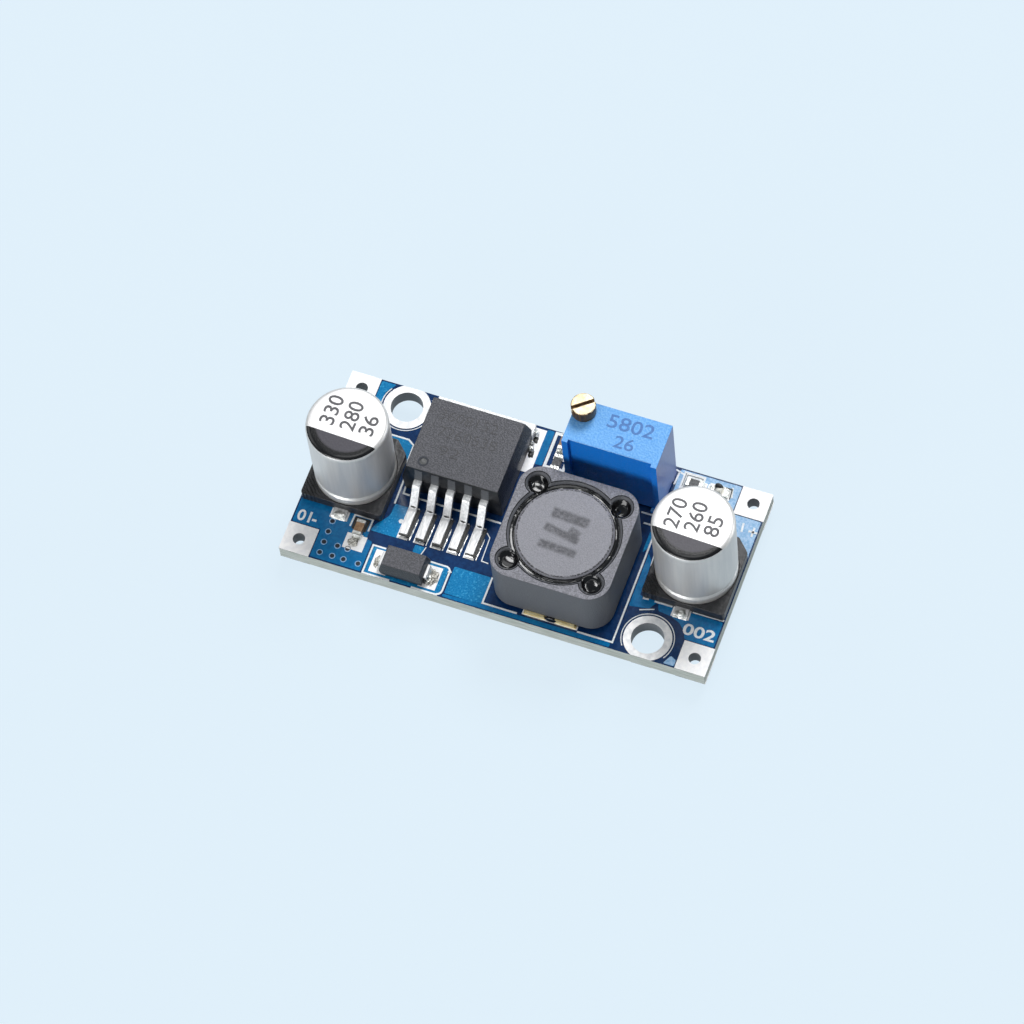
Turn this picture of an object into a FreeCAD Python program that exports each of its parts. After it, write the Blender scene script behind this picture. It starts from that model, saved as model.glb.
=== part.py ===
"""Step-down converter module: a small circuit board with its soldered parts.

The origin is the centre of the board's underside.  +X points to the output end,
+Y to the long edge that carries the trimmer, and +Z up from the component side.
All lengths are in millimetres and all angles in degrees.
"""

import FreeCAD, Part
import os
import re

import Sketcher
from FreeCAD import Vector

# Driving sizes

BOARD = {
    "board_length": 43.2,
    "board_width": 20.2,
    "board_thickness": 1.6,
    "copper_thickness": 0.05,
    "plating_wall": 0.05,
    "mount_bore": 3.2,
    "mount_ring": 4.7,
    "mount_inset_x": 6.4,
    "mount_inset_y": 2.12,
    "wire_bore": 1.2,
    "wire_land": 3.05,
    "wire_inset_x": 1.475,
    "wire_inset_y": 1.525,
    "via_bore": 0.4,
    "via_inset_x": 3.88,
    "via_inset_y": 0.82,
    "via_pitch": 1.16,
}

CAPACITORS = {
    "can_diameter": 8.0,
    "can_height": 10.1,
    "can_rim_radius": 0.55,
    "can_foot_inset": 0.25,
    "can_bead_height": 1.35,
    "can_neck_depth": 0.2,
    "can_neck_height": 0.2,
    "can_neck_slope": 0.22,
    "can_crease_radius": 0.09,
    "base_size": 8.3,
    "base_height": 1.25,
    "base_floor": 0.65,
    "base_chamfer": 1.3,
    "base_edge_radius": 0.3,
    "base_clearance": 0.04,
    "can_terminal_width": 1.4,
    "can_terminal_thickness": 0.25,
    "can_terminal_reach": 0.85,
    "can_terminal_gap": 1.2,
    "input_can_x": -17.3,
    "input_can_setback": 8.26,
    "output_can_x": 17.35,
    "output_can_setback": 8.08,
}

REGULATOR = {
    "regulator_x": -7.3,
    "regulator_y": 3.95,
    "regulator_width": 10.2,
    "regulator_depth": 8.6,
    "regulator_parting": 2.6,
    "regulator_height": 4.4,
    "regulator_draft": 13.0,
    "regulator_under_draft": 3.0,
    "regulator_mark_radius": 0.5,
    "regulator_mark_inset_x": 1.85,
    "regulator_mark_inset_y": 1.35,
    "regulator_mark_depth": 0.12,
    "tab_thickness": 1.27,
    "tab_width": 8.6,
    "tab_head_width": 10.0,
    "tab_head_depth": 1.25,
    "tab_inset": 2.0,
    "lead_pitch": 1.7,
    "lead_width": 0.8,
    "lead_thickness": 0.38,
    "lead_embed": 0.6,
    "lead_shoulder": 0.55,
    "lead_run": 1.45,
    "lead_foot": 2.75,
    "lead_bend_radius": 0.6,
}

INDUCTOR = {
    "inductor_x": 5.45,
    "inductor_y": -3.05,
    "shield_size": 12.0,
    "shield_corner": 2.2,
    "shield_top": 7.0,
    "shield_bore": 10.5,
    "shield_lobe_radius": 1.0,
    "shield_lobe_reach": 5.9,
    "shield_bore_chamfer": 0.25,
    "clip_thickness": 0.15,
    "clip_width": 5.3,
    "clip_depth": 2.4,
    "clip_shift": 0.3,
    "clip_prong_width": 1.95,
    "clip_prong_spacing": 3.05,
    "clip_prong_height": 0.6,
    "clip_clearance": 0.03,
    "inductor_base_thickness": 0.4,
    "inductor_base_margin": 0.25,
    "drum_flange": 9.5,
    "drum_foot": 9.0,
    "drum_neck": 5.0,
    "drum_flange_height": 1.2,
    "drum_edge_chamfer": 0.18,
    "drum_set_down": 0.1,
    "winding_diameter": 8.6,
    "winding_clearance": 0.06,
    "adhesive_depth": 1.4,
    "adhesive_set_down": 0.35,
}

TRIMMER = {
    "trimmer_x": 7.28,
    "trimmer_y": 7.03,
    "trimmer_length": 9.53,
    "trimmer_depth": 4.8,
    "trimmer_height": 10.0,
    "trimmer_standoff": 0.4,
    "trimmer_foot": 1.0,
    "trimmer_wall": 0.4,
    "trimmer_front_wall": 0.5,
    "trimmer_roof": 0.9,
    "trimmer_post": 0.6,
    "trimmer_recess": 0.4,
    "trimmer_base_thickness": 0.8,
    "screw_inset_x": 1.0,
    "screw_inset_y": 1.15,
    "screw_head": 2.4,
    "screw_head_height": 1.5,
    "screw_head_chamfer": 0.1,
    "screw_shoulder": 1.3,
    "screw_clearance": 0.05,
    "screw_slot_width": 0.38,
    "screw_slot_depth": 0.65,
    "screw_slot_angle": 38.0,
    "seal_groove_diameter": 0.9,
    "seal_wire": 0.22,
    "seal_down": 0.45,
    "seal_slack": 0.02,
    "clip_neck_diameter": 0.66,
    "clip_washer": 1.1,
    "clip_washer_thickness": 0.25,
    "clip_mouth": 0.54,
    "collar_diameter": 1.0,
    "collar_length": 0.45,
    "worm_core": 0.66,
    "worm_outer": 1.1,
    "worm_turns": 7,
    "worm_root_width": 0.32,
    "worm_tip_width": 0.16,
    "worm_mesh_clearance": 0.06,
    "worm_embed": 0.04,
    "journal_diameter": 0.54,
    "journal_length": 0.85,
    "bearing_post": 1.1,
    "bearing_height": 1.1,
    "rotor_teeth": 30,
    "rotor_floor_gap": 0.725,
    "rotor_roof_gap": 0.425,
    "rotor_side_gap": 0.99,
    "rotor_thickness": 0.6,
    "rotor_tooth_root": 0.28,
    "rotor_tooth_tip": 0.18,
    "rotor_tooth_embed": 0.1,
    "rotor_hub": 3.0,
    "rotor_hub_length": 0.85,
    "rotor_bore": 1.72,
    "rotor_bore_depth": 1.0,
    "pivot_clearance": 0.06,
    "pivot_shoulder": 2.6,
    "element_thickness": 0.6,
    "element_margin": 0.1,
    "track_thickness": 0.05,
    "track_inset": 0.725,
    "track_width": 0.75,
    "track_gap": 1.6,
    "collector_diameter": 1.4,
    "wiper_plate": 2.4,
    "wiper_thickness": 0.12,
    "wiper_arm_width": 0.8,
    "wiper_contact": 0.36,
    "wiper_gap": 0.04,
    "pin_diameter": 0.5,
    "pin_spacing": 2.54,
    "pin_wiper_gap": 0.425,
    "pin_drop": 1.25,
    "pin_hole": 0.9,
    "pin_land": 1.7,
    "pin_solder_height": 0.75,
    "pin_solder_top": 0.62,
    "pin_solder_foot": 1.5,
}

DIODE = {
    "diode_x": -9.2,
    "diode_y": -8.45,
    "diode_length": 4.4,
    "diode_width": 2.65,
    "diode_parting": 1.05,
    "diode_height": 2.15,
    "diode_draft": 13.0,
    "diode_terminal_width": 1.45,
    "diode_terminal_thickness": 0.2,
    "diode_terminal_reach": 0.25,
    "diode_terminal_foot": 1.1,
    "diode_terminal_embed": 0.4,
    "diode_bend_radius": 0.12,
}

CHIPS = {
    "chip_length": 1.6,
    "chip_width": 0.85,
    "chip_end": 0.32,
    "chip_end_proud": 0.02,
    "ceramic_height": 0.75,
    "resistor_height": 0.45,
    "lamp_height": 0.4,
    "lamp_lens_width": 0.7,
    "lamp_lens_height": 0.4,
    "lamp_lens_radius": 0.3,
    "input_chip_x": -14.88,
    "input_chip_y": -5.9,
    "feedback_chip_x": 0.75,
    "feedback_chip_y": 6.75,
    "bypass_chip_x": 0.75,
    "bypass_chip_y": 8.85,
    "lamp_resistor_x": 14.1,
    "lamp_resistor_y": 8.7,
    "lamp_x": 16.6,
    "lamp_y": 8.7,
}

LANDS = {
    "lead_land_width": 1.1,
    "lead_land_reach": 0.4,
    "tab_land_left": 5.1,
    "tab_land_right": 5.95,
    "tab_land_depth": 4.85,
    "land_edge_margin": 0.3,
    "can_land_width": 1.8,
    "can_land_depth": 3.4,
    "can_land_toe": 0.15,
    "clip_land_width": 5.6,
    "clip_land_depth": 2.9,
    "diode_land_length": 1.75,
    "diode_land_width": 2.45,
    "diode_land_reach": 0.95,
    "chip_land_length": 0.8,
    "chip_land_width": 1.1,
    "wide_land_width": 2.05,
    "wide_land_depth": 1.65,
    "wide_land_shift": 0.55,
    "solder_toe": 0.22,
    "solder_height_share": 0.8,
    "solder_top_lip": 0.04,
}

SIZES = BOARD | CAPACITORS | REGULATOR | INDUCTOR | TRIMMER | DIODE | CHIPS | LANDS

document = FreeCAD.newDocument("converter_module")
sheet = document.addObject("Spreadsheet::Sheet", "Sizes")
for row, (name, value) in enumerate(SIZES.items(), start=1):
    sheet.set(f"A{row}", name)
    sheet.set(f"B{row}", str(value))
    sheet.setAlias(f"B{row}", name)
document.recompute()

nodes = []

# How near two places are when they count as the same one
ALIKE = 1e-4

# Heights above the board's underside that several parts share
BOARD_TOP = "board_thickness"
SEAT = "(board_thickness + copper_thickness)"


# Small tools for bound sketches and features

def formula(text):
    """Writes a size's name as the sheet's cell: a size is any word with an underscore."""
    return re.sub(r"\b[a-z]+_[a-z0-9_]+\b", lambda word: "Sizes." + word.group(), str(text))


def number(text):
    """The present value of a formula."""
    return float(sheet.evalExpression(formula(text)))


def bind(item, path, text):
    item.setExpression(path, formula(text))


def new_body(label, x="0", y="0", z="0"):
    """A body that carries one node, placed by formulas."""
    body = document.addObject("PartDesign::Body", label)
    body.Label = label
    body.AllowCompound = True
    for axis, text in zip("xyz", (x, y, z)):
        bind(body, f"Placement.Base.{axis}", text)
    nodes.append(body)
    return body


def origin_feature(body, role):
    return next(item for item in body.Origin.OriginFeatures if item.Role == role)


def new_sketch(body, plane="XY_Plane", offset="0"):
    """A sketch on one of the body's planes.  XZ looks along +Y, so its offset runs to -Y."""
    sketch = body.newObject("Sketcher::SketchObject", body.Label + "_sketch")
    sketch.AttachmentSupport = [(origin_feature(body, plane), "")]
    sketch.MapMode = "FlatFace"
    bind(sketch, "AttachmentOffset.Base.z", offset)
    return sketch


def constrain(sketch, kind, *places, text):
    index = sketch.addConstraint(Sketcher.Constraint(kind, *places, number(text)))
    bind(sketch, f"Constraints[{index}]", text)


def polygon(sketch, corners):
    """A closed outline whose every corner is placed from the origin by two formulas."""
    points = [Vector(number(x), number(y), 0) for x, y in corners]
    first = sketch.GeometryCount
    count = len(points)
    for index, point in enumerate(points):
        sketch.addGeometry(Part.LineSegment(point, points[(index + 1) % count]))
    for index, (x, y) in enumerate(corners):
        following = first + (index + 1) % count
        sketch.addConstraint(Sketcher.Constraint("Coincident", first + index, 2, following, 1))
        constrain(sketch, "DistanceX", -1, 1, first + index, 1, text=x)
        constrain(sketch, "DistanceY", -1, 1, first + index, 1, text=y)


def rectangle(sketch, x, y, width, depth):
    """A rectangle about its centre."""
    left, right = f"{x} - ({width}) / 2", f"{x} + ({width}) / 2"
    front, back = f"{y} - ({depth}) / 2", f"{y} + ({depth}) / 2"
    polygon(sketch, [(left, front), (right, front), (right, back), (left, back)])


def circle(sketch, x, y, diameter):
    centre = Vector(number(x), number(y), 0)
    item = sketch.addGeometry(Part.Circle(centre, Vector(0, 0, 1), number(diameter) / 2))
    constrain(sketch, "DistanceX", -1, 1, item, 3, text=x)
    constrain(sketch, "DistanceY", -1, 1, item, 3, text=y)
    constrain(sketch, "Diameter", item, text=diameter)


def extrude(body, kind, sketch, length, reverse=False, taper="0"):
    """A Pad along the sketch's normal, or a Pocket against it, turned round by reverse."""
    feature = body.newObject("PartDesign::" + kind, body.Label + "_" + kind.lower())
    feature.Profile = sketch
    feature.Reversed = reverse
    bind(feature, "Length", length)
    bind(feature, "TaperAngle", taper)
    return feature


def pad(body, sketch, length, reverse=False, taper="0"):
    return extrude(body, "Pad", sketch, length, reverse, taper)


def pocket(body, sketch, length, reverse=False):
    return extrude(body, "Pocket", sketch, length, reverse)


def revolve(body, corners, kind="Revolution"):
    """A full turn about the body's Z axis of a profile given as (radius, height)."""
    sketch = new_sketch(body, "XZ_Plane")
    polygon(sketch, corners)
    feature = body.newObject("PartDesign::" + kind, body.Label + "_turned")
    feature.Profile = sketch
    feature.ReferenceAxis = (origin_feature(body, "Z_Axis"), [""])
    feature.Angle = 360
    return feature


def repeat(body, features, axis, spacing, count):
    """A row of copies along one of the body's axes."""
    row = body.newObject("PartDesign::LinearPattern", body.Label + "_row")
    row.Originals = features
    row.Direction = (origin_feature(body, axis), [""])
    row.Mode = "Spacing"
    bind(row, "Offset", spacing)
    row.Occurrences = count
    body.Tip = row
    return row


def dress_edges(body, kind, feature, test, size):
    """A Fillet or Chamfer on the feature's edges that pass the test."""
    document.recompute()
    names = [f"Edge{index}" for index, edge in enumerate(feature.Shape.Edges, 1) if test(edge)]
    dressed = body.newObject("PartDesign::" + kind, body.Label + "_" + kind.lower())
    dressed.Base = (feature, names)
    bind(dressed, "Radius" if kind == "Fillet" else "Size", size)
    return dressed


def runs_along(edge, axis):
    """True for a straight edge parallel to the axis."""
    if edge.Curve.TypeId != "Part::GeomLine":
        return False
    return edge.Curve.Direction.cross(axis).Length < ALIKE


def passes(edge, **place):
    """True where the edge's centre has the given coordinates."""
    centre = edge.BoundBox.Center
    return all(abs(getattr(centre, axis) - number(text)) < ALIKE for axis, text in place.items())


def is_ring(edge, diameter, height):
    """True for a circle about the Z axis of this diameter at this height."""
    if edge.Curve.TypeId != "Part::GeomCircle":
        return False
    same_size = abs(2 * edge.Curve.Radius - number(diameter)) < ALIKE
    return same_size and abs(edge.Curve.Center.z - number(height)) < ALIKE


# Board, plated holes and tinned lands

def signs(x, y):
    """The four places at plus and minus half of each spread."""
    return [(f"{sx} * {x} / 2", f"{sy} * {y} / 2") for sx in (1, -1) for sy in (1, -1)]


MOUNT_X = "(board_length / 2 - mount_inset_x)"
MOUNT_Y = "(board_width / 2 - mount_inset_y)"
MOUNT_CENTRES = [(f"-{MOUNT_X}", MOUNT_Y), (MOUNT_X, f"-{MOUNT_Y}")]
WIRE_CENTRES = signs("(board_length - 2 * wire_inset_x)", "(board_width - 2 * wire_inset_y)")

# Thermal vias beside the input, as column and row of their grid
VIA_GRID = [(0, 0), (0, 1), (0, 2), (0, 3), (1.1, 0), (2.1, 0), (3.4, 0), (1.2, 1), (2.1, 1)]
VIA_LEFT = "(via_inset_x - board_length / 2)"
VIA_FRONT = "(via_inset_y - board_width / 2)"
VIA_CENTRES = [
    (f"{VIA_LEFT} + {column} * via_pitch", f"{VIA_FRONT} + {row} * via_pitch")
    for column, row in VIA_GRID
]

PIN_Y = (
    "(trimmer_y - trimmer_depth / 2 + trimmer_recess + trimmer_front_wall"
    " + element_thickness + pin_diameter / 2)"
)
PIN_CENTRES = [(f"trimmer_x + {step} * pin_spacing", PIN_Y) for step in (-1, 0, 1)]


def make_board():
    board = new_body("board")
    outline = new_sketch(board)
    rectangle(outline, "0", "0", "board_length", "board_width")
    for x, y in MOUNT_CENTRES:
        circle(outline, x, y, "mount_bore + 2 * plating_wall")
    for x, y in WIRE_CENTRES:
        circle(outline, x, y, "wire_bore + 2 * plating_wall")
    for x, y in PIN_CENTRES:
        circle(outline, x, y, "pin_hole + 2 * plating_wall")
    for x, y in VIA_CENTRES:
        circle(outline, x, y, "via_bore")
    pad(board, outline, "board_thickness")


def make_plated_holes(label, centres, bore, land, land_shape):
    """A plated barrel in each hole, with a land on both faces of the board."""
    holes = new_body(label)
    barrels = new_sketch(holes)
    for x, y in centres:
        circle(barrels, x, y, bore)
        circle(barrels, x, y, f"{bore} + 2 * plating_wall")
    pad(holes, barrels, "board_thickness")
    for height, downwards in ((BOARD_TOP, False), ("0", True)):
        lands = new_sketch(holes, offset=height)
        for x, y in centres:
            circle(lands, x, y, bore)
            if land_shape == "round":
                circle(lands, x, y, land)
            else:
                rectangle(lands, x, y, land, land)
        pad(holes, lands, "copper_thickness", reverse=downwards)
    if land_shape == "round":
        trim_at_board_edges(holes, land)


def trim_at_board_edges(holes, land):
    """Cuts off what a round land would reach past the board's long edges."""
    beyond = new_sketch(holes, offset="board_thickness + copper_thickness")
    for side in (-1, 1):
        centre = f"{side} * (board_width / 2 + {land} / 2)"
        rectangle(beyond, "0", centre, "board_length", land)
    pocket(holes, beyond, "board_thickness + 2 * copper_thickness")


CHIP_PLACES = {
    "input_chip": ("input_chip_x", "input_chip_y", "Y"),
    "feedback_chip": ("feedback_chip_x", "feedback_chip_y", "Y"),
    "bypass_chip": ("bypass_chip_x", "bypass_chip_y", "Y"),
    "lamp_resistor": ("lamp_resistor_x", "lamp_resistor_y", "X"),
    "lamp": ("lamp_x", "lamp_y", "X"),
}
CAN_PLACES = {
    "input_capacitor": ("input_can_x", f"({MOUNT_Y} - input_can_setback)"),
    "output_capacitor": ("output_can_x", f"(output_can_setback - {MOUNT_Y})"),
}

LEAD_TOE_Y = (
    "(regulator_y - regulator_depth / 2 - lead_shoulder - lead_run - lead_foot)"
)
LEAD_STEPS = (-2, -1, 0, 1, 2)


def make_solder_lands():
    """Bare tinned copper under each surface-mounted terminal."""
    lands = new_body("solder_lands", z=BOARD_TOP)
    shapes = new_sketch(lands)
    foot_depth = "(lead_foot + 2 * lead_land_reach)"
    foot_y = f"({LEAD_TOE_Y} - lead_land_reach + {foot_depth} / 2)"
    for step in LEAD_STEPS:
        foot_x = f"regulator_x + {step} * lead_pitch"
        rectangle(shapes, foot_x, foot_y, "lead_land_width", foot_depth)
    tab_back = "(board_width / 2 - land_edge_margin)"
    rectangle(
        shapes,
        "regulator_x + (tab_land_right - tab_land_left) / 2",
        f"{tab_back} - tab_land_depth / 2",
        "tab_land_left + tab_land_right",
        "tab_land_depth",
    )
    for x, y in CAN_PLACES.values():
        for side in (-1, 1):
            reach = "(base_size / 2 + can_terminal_reach + can_land_toe - can_land_depth / 2)"
            rectangle(shapes, x, f"{y} + {side} * {reach}", "can_land_width", "can_land_depth")
    for side in (-1, 1):
        centre = f"inductor_y + {side} * (shield_size / 2 + land_edge_margin - clip_land_depth / 2)"
        rectangle(shapes, "inductor_x + clip_shift", centre, "clip_land_width", "clip_land_depth")
        outer = "(diode_length / 2 + diode_terminal_reach + diode_land_reach)"
        centre = f"diode_x + {side} * ({outer} - diode_land_length / 2)"
        rectangle(shapes, centre, "diode_y", "diode_land_length", "diode_land_width")
    for x, y, axis in CHIP_PLACES.values():
        for side in (-1, 1):
            step = f"{side} * chip_length / 2"
            if axis == "X":
                rectangle(shapes, f"{x} + {step}", y, "chip_land_length", "chip_land_width")
            else:
                rectangle(shapes, x, f"{y} + {step}", "chip_land_width", "chip_land_length")
    pad(lands, shapes, "copper_thickness")
    wide = new_sketch(lands)
    wide_y = "input_chip_y - chip_length / 2 - wide_land_shift"
    rectangle(wide, "input_chip_x", wide_y, "wide_land_width", "wide_land_depth")
    pad(lands, wide, "copper_thickness")


# Electrolytic capacitors: a sealed can, its moulded base and two flat terminals

def make_can(label, x, y):
    """The drawn aluminium can, with its crimped bead and neck above the base."""
    can = new_body(label + "_can", x, y, SEAT)
    rim = "can_diameter / 2"
    bead_top = "(base_floor + can_bead_height)"
    neck_low = f"({bead_top} + can_neck_slope)"
    neck_high = f"({neck_low} + can_neck_height)"
    wall_low = f"({neck_high} + can_neck_slope)"
    top = "(base_floor + can_height)"
    turned = revolve(can, [
        ("0", "base_floor"),
        (f"{rim} - can_foot_inset", "base_floor"),
        (rim, "base_floor + can_foot_inset"),
        (rim, bead_top),
        (f"{rim} - can_neck_depth", neck_low),
        (f"{rim} - can_neck_depth", neck_high),
        (rim, wall_low),
        (rim, top),
        ("0", top),
    ])
    rounded = dress_edges(
        can, "Fillet", turned, lambda edge: is_ring(edge, "can_diameter", top), "can_rim_radius"
    )
    creases = [
        ("can_diameter", "base_floor + can_foot_inset"),
        ("can_diameter", bead_top),
        ("can_diameter - 2 * can_neck_depth", neck_low),
        ("can_diameter - 2 * can_neck_depth", neck_high),
        ("can_diameter", wall_low),
    ]
    dress_edges(
        can,
        "Fillet",
        rounded,
        lambda edge: any(is_ring(edge, size, height) for size, height in creases),
        "can_crease_radius",
    )


def make_can_base(label, x, y):
    """The moulded base, with two cut corners on the positive side and terminal channels."""
    base = new_body(label + "_base", x, y, SEAT)
    half = "base_size / 2"
    outline = new_sketch(base)
    polygon(outline, [
        (f"-{half}", f"-{half}"),
        (half, f"-{half}"),
        (half, f"{half} - base_chamfer"),
        (f"{half} - base_chamfer", half),
        (f"-{half} + base_chamfer", half),
        (f"-{half}", f"{half} - base_chamfer"),
    ])
    block = pad(base, outline, "base_height")
    rounded = dress_edges(
        base, "Fillet", block, lambda edge: runs_along(edge, Vector(0, 0, 1)), "base_edge_radius"
    )
    base.Tip = rounded
    seat = new_sketch(base, offset="base_height")
    circle(seat, "0", "0", "can_diameter + 2 * base_clearance")
    pocket(base, seat, "base_height - base_floor")
    channels = new_sketch(base)
    run = f"({half} - can_terminal_gap / 2)"
    for side in (-1, 1):
        centre = f"{side} * (can_terminal_gap / 2 + {run} / 2)"
        rectangle(channels, "0", centre, "can_terminal_width", run)
    pocket(base, channels, "can_terminal_thickness", reverse=True)


def make_can_terminals(label, x, y):
    """Two flat strips that lie in the base's channels and reach past its edges."""
    terminals = new_body(label + "_terminals", x, y, SEAT)
    strips = new_sketch(terminals)
    run = "(base_size / 2 - can_terminal_gap / 2 + can_terminal_reach)"
    for side in (-1, 1):
        centre = f"{side} * (can_terminal_gap / 2 + {run} / 2)"
        rectangle(strips, "0", centre, "can_terminal_width", run)
    pad(terminals, strips, "can_terminal_thickness")


# Regulator: a moulded package on a copper tab, with five formed leads

REGULATOR_FRONT = "(regulator_y - regulator_depth / 2)"


def make_regulator_body():
    parting = f"{SEAT} + regulator_parting"
    package = new_body("regulator_body", "regulator_x", "regulator_y", parting)
    upper = new_sketch(package)
    rectangle(upper, "0", "0", "regulator_width", "regulator_depth")
    pad(package, upper, "regulator_height - regulator_parting", taper="-regulator_draft")
    lower = new_sketch(package)
    rectangle(lower, "0", "0", "regulator_width", "regulator_depth")
    pad(package, lower, "regulator_parting", reverse=True, taper="-regulator_under_draft")
    tab_seat = new_sketch(package, offset="-regulator_parting")
    run = "(regulator_depth - tab_inset)"
    rectangle(tab_seat, "0", "tab_inset / 2", "tab_width", run)
    pocket(package, tab_seat, "tab_thickness", reverse=True)
    lead_slots = new_sketch(package, "XZ_Plane", offset="regulator_depth / 2")
    for step in LEAD_STEPS:
        rectangle(lead_slots, f"{step} * lead_pitch", "0", "lead_width", "lead_thickness")
    pocket(package, lead_slots, "lead_embed")
    mark = new_sketch(package, offset="regulator_height - regulator_parting")
    circle(
        mark,
        "-regulator_width / 2 + regulator_mark_inset_x",
        "-regulator_depth / 2 + regulator_mark_inset_y",
        "2 * regulator_mark_radius",
    )
    pocket(package, mark, "regulator_mark_depth")


def make_regulator_tab():
    """The heat-spreading plate under the package, wider where it shows behind."""
    tab = new_body("regulator_tab", "regulator_x", "regulator_y", SEAT)
    outline = new_sketch(tab)
    front = "-regulator_depth / 2 + tab_inset"
    back = "regulator_depth / 2"
    polygon(outline, [
        ("-tab_width / 2", front),
        ("tab_width / 2", front),
        ("tab_width / 2", back),
        ("tab_head_width / 2", back),
        ("tab_head_width / 2", f"{back} + tab_head_depth"),
        ("-tab_head_width / 2", f"{back} + tab_head_depth"),
        ("-tab_head_width / 2", back),
        ("-tab_width / 2", back),
    ])
    pad(tab, outline, "tab_thickness")


def make_regulator_leads():
    """Five gull-wing leads, each a strip bent down from the package to its land."""
    leads = new_body("regulator_leads", "regulator_x - 2 * lead_pitch", REGULATOR_FRONT, SEAT)
    side = new_sketch(leads, "YZ_Plane", offset="-lead_width / 2")
    top = "(regulator_parting + lead_thickness / 2)"
    shoulder = "-lead_shoulder"
    heel = "(-lead_shoulder - lead_run)"
    drop = f"({top} - lead_thickness)"
    slope = f"(sqrt(lead_run ^ 2 + {drop} ^ 2) - lead_run) / {drop} * lead_thickness"
    polygon(side, [
        ("lead_embed", top),
        (shoulder, top),
        (heel, "lead_thickness"),
        (f"{heel} - lead_foot", "lead_thickness"),
        (f"{heel} - lead_foot", "0"),
        (f"{heel} + {slope}", "0"),
        (f"{shoulder} + {slope}", f"{top} - lead_thickness"),
        ("lead_embed", f"{top} - lead_thickness"),
    ])
    strip = pad(leads, side, "lead_width")
    bends = [
        {"y": shoulder, "z": top},
        {"y": heel, "z": "lead_thickness"},
        {"y": f"{heel} + {slope}", "z": "0"},
        {"y": f"{shoulder} + {slope}", "z": f"{top} - lead_thickness"},
    ]
    formed = dress_edges(
        leads,
        "Fillet",
        strip,
        lambda edge: runs_along(edge, Vector(1, 0, 0))
        and any(passes(edge, **bend) for bend in bends),
        "lead_bend_radius",
    )
    repeat(leads, [strip, formed], "X_Axis", "lead_pitch", len(LEAD_STEPS))


# Shielded inductor: clips, base, ferrite shield and drum, winding and adhesive

SHIELD_FLOOR = "(clip_thickness + inductor_base_thickness)"
DRUM_TOP = "(shield_top - drum_set_down)"


def make_inductor_clips():
    """Two gilt clips under the base, each with a pair of prongs turned up at the edge."""
    clips = new_body("inductor_clips", "inductor_x", "inductor_y", SEAT)
    plates = new_sketch(clips)
    prongs = new_sketch(clips)
    edge = "(shield_size / 2 + clip_clearance + clip_thickness)"
    for side in (-1, 1):
        centre = f"{side} * ({edge} - clip_depth / 2)"
        rectangle(plates, "clip_shift", centre, "clip_width", "clip_depth")
        for place in (-1, 1):
            x = f"clip_shift + {place} * clip_prong_spacing / 2"
            y = f"{side} * ({edge} - clip_thickness / 2)"
            rectangle(prongs, x, y, "clip_prong_width", "clip_thickness")
    pad(clips, plates, "clip_thickness")
    pad(clips, prongs, "clip_prong_height")


def make_inductor_base():
    base = new_body("inductor_base", "inductor_x", "inductor_y", f"{SEAT} + clip_thickness")
    outline = new_sketch(base)
    size = "shield_size - 2 * inductor_base_margin"
    rectangle(outline, "0", "0", size, size)
    plate = pad(base, outline, "inductor_base_thickness")
    dress_edges(
        base, "Fillet", plate, lambda edge: runs_along(edge, Vector(0, 0, 1)), "shield_corner"
    )


def make_inductor_shield():
    """The square ferrite shell: a round bore with four reliefs on its diagonals."""
    shield = new_body("inductor_shield", "inductor_x", "inductor_y", SEAT)
    outline = new_sketch(shield, offset=SHIELD_FLOOR)
    rectangle(outline, "0", "0", "shield_size", "shield_size")
    block = pad(shield, outline, f"shield_top - {SHIELD_FLOOR}")
    rounded = dress_edges(
        shield, "Fillet", block, lambda edge: runs_along(edge, Vector(0, 0, 1)), "shield_corner"
    )
    bore = new_sketch(shield, offset="shield_top")
    circle(bore, "0", "0", "shield_bore")
    pocket(shield, bore, f"shield_top - {SHIELD_FLOOR}")
    reliefs = new_sketch(shield, offset="shield_top")
    for x, y in signs("sqrt(2) * shield_lobe_reach", "sqrt(2) * shield_lobe_reach"):
        circle(reliefs, x, y, "2 * shield_lobe_radius")
    opened = pocket(shield, reliefs, f"shield_top - {SHIELD_FLOOR}")
    dress_edges(
        shield,
        "Chamfer",
        opened,
        lambda edge: is_ring(edge, "shield_bore", "shield_top")
        or is_ring(edge, "2 * shield_lobe_radius", "shield_top"),
        "shield_bore_chamfer",
    )


def make_inductor_drum():
    """The ferrite bobbin: a neck between two flanges."""
    drum = new_body("inductor_drum", "inductor_x", "inductor_y", SEAT)
    turned = revolve(drum, [
        ("0", SHIELD_FLOOR),
        ("drum_foot / 2", SHIELD_FLOOR),
        ("drum_foot / 2", f"{SHIELD_FLOOR} + drum_flange_height"),
        ("drum_neck / 2", f"{SHIELD_FLOOR} + drum_flange_height"),
        ("drum_neck / 2", f"{DRUM_TOP} - drum_flange_height"),
        ("drum_flange / 2", f"{DRUM_TOP} - drum_flange_height"),
        ("drum_flange / 2", DRUM_TOP),
        ("0", DRUM_TOP),
    ])
    dress_edges(
        drum,
        "Chamfer",
        turned,
        lambda edge: is_ring(edge, "drum_flange", DRUM_TOP),
        "drum_edge_chamfer",
    )


def make_inductor_winding():
    winding = new_body("inductor_winding", "inductor_x", "inductor_y", SEAT)
    low = f"({SHIELD_FLOOR} + drum_flange_height + winding_clearance)"
    high = f"({DRUM_TOP} - drum_flange_height - winding_clearance)"
    inner = "drum_neck / 2 + winding_clearance"
    revolve(winding, [
        (inner, low),
        ("winding_diameter / 2", low),
        ("winding_diameter / 2", high),
        (inner, high),
    ])


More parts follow.
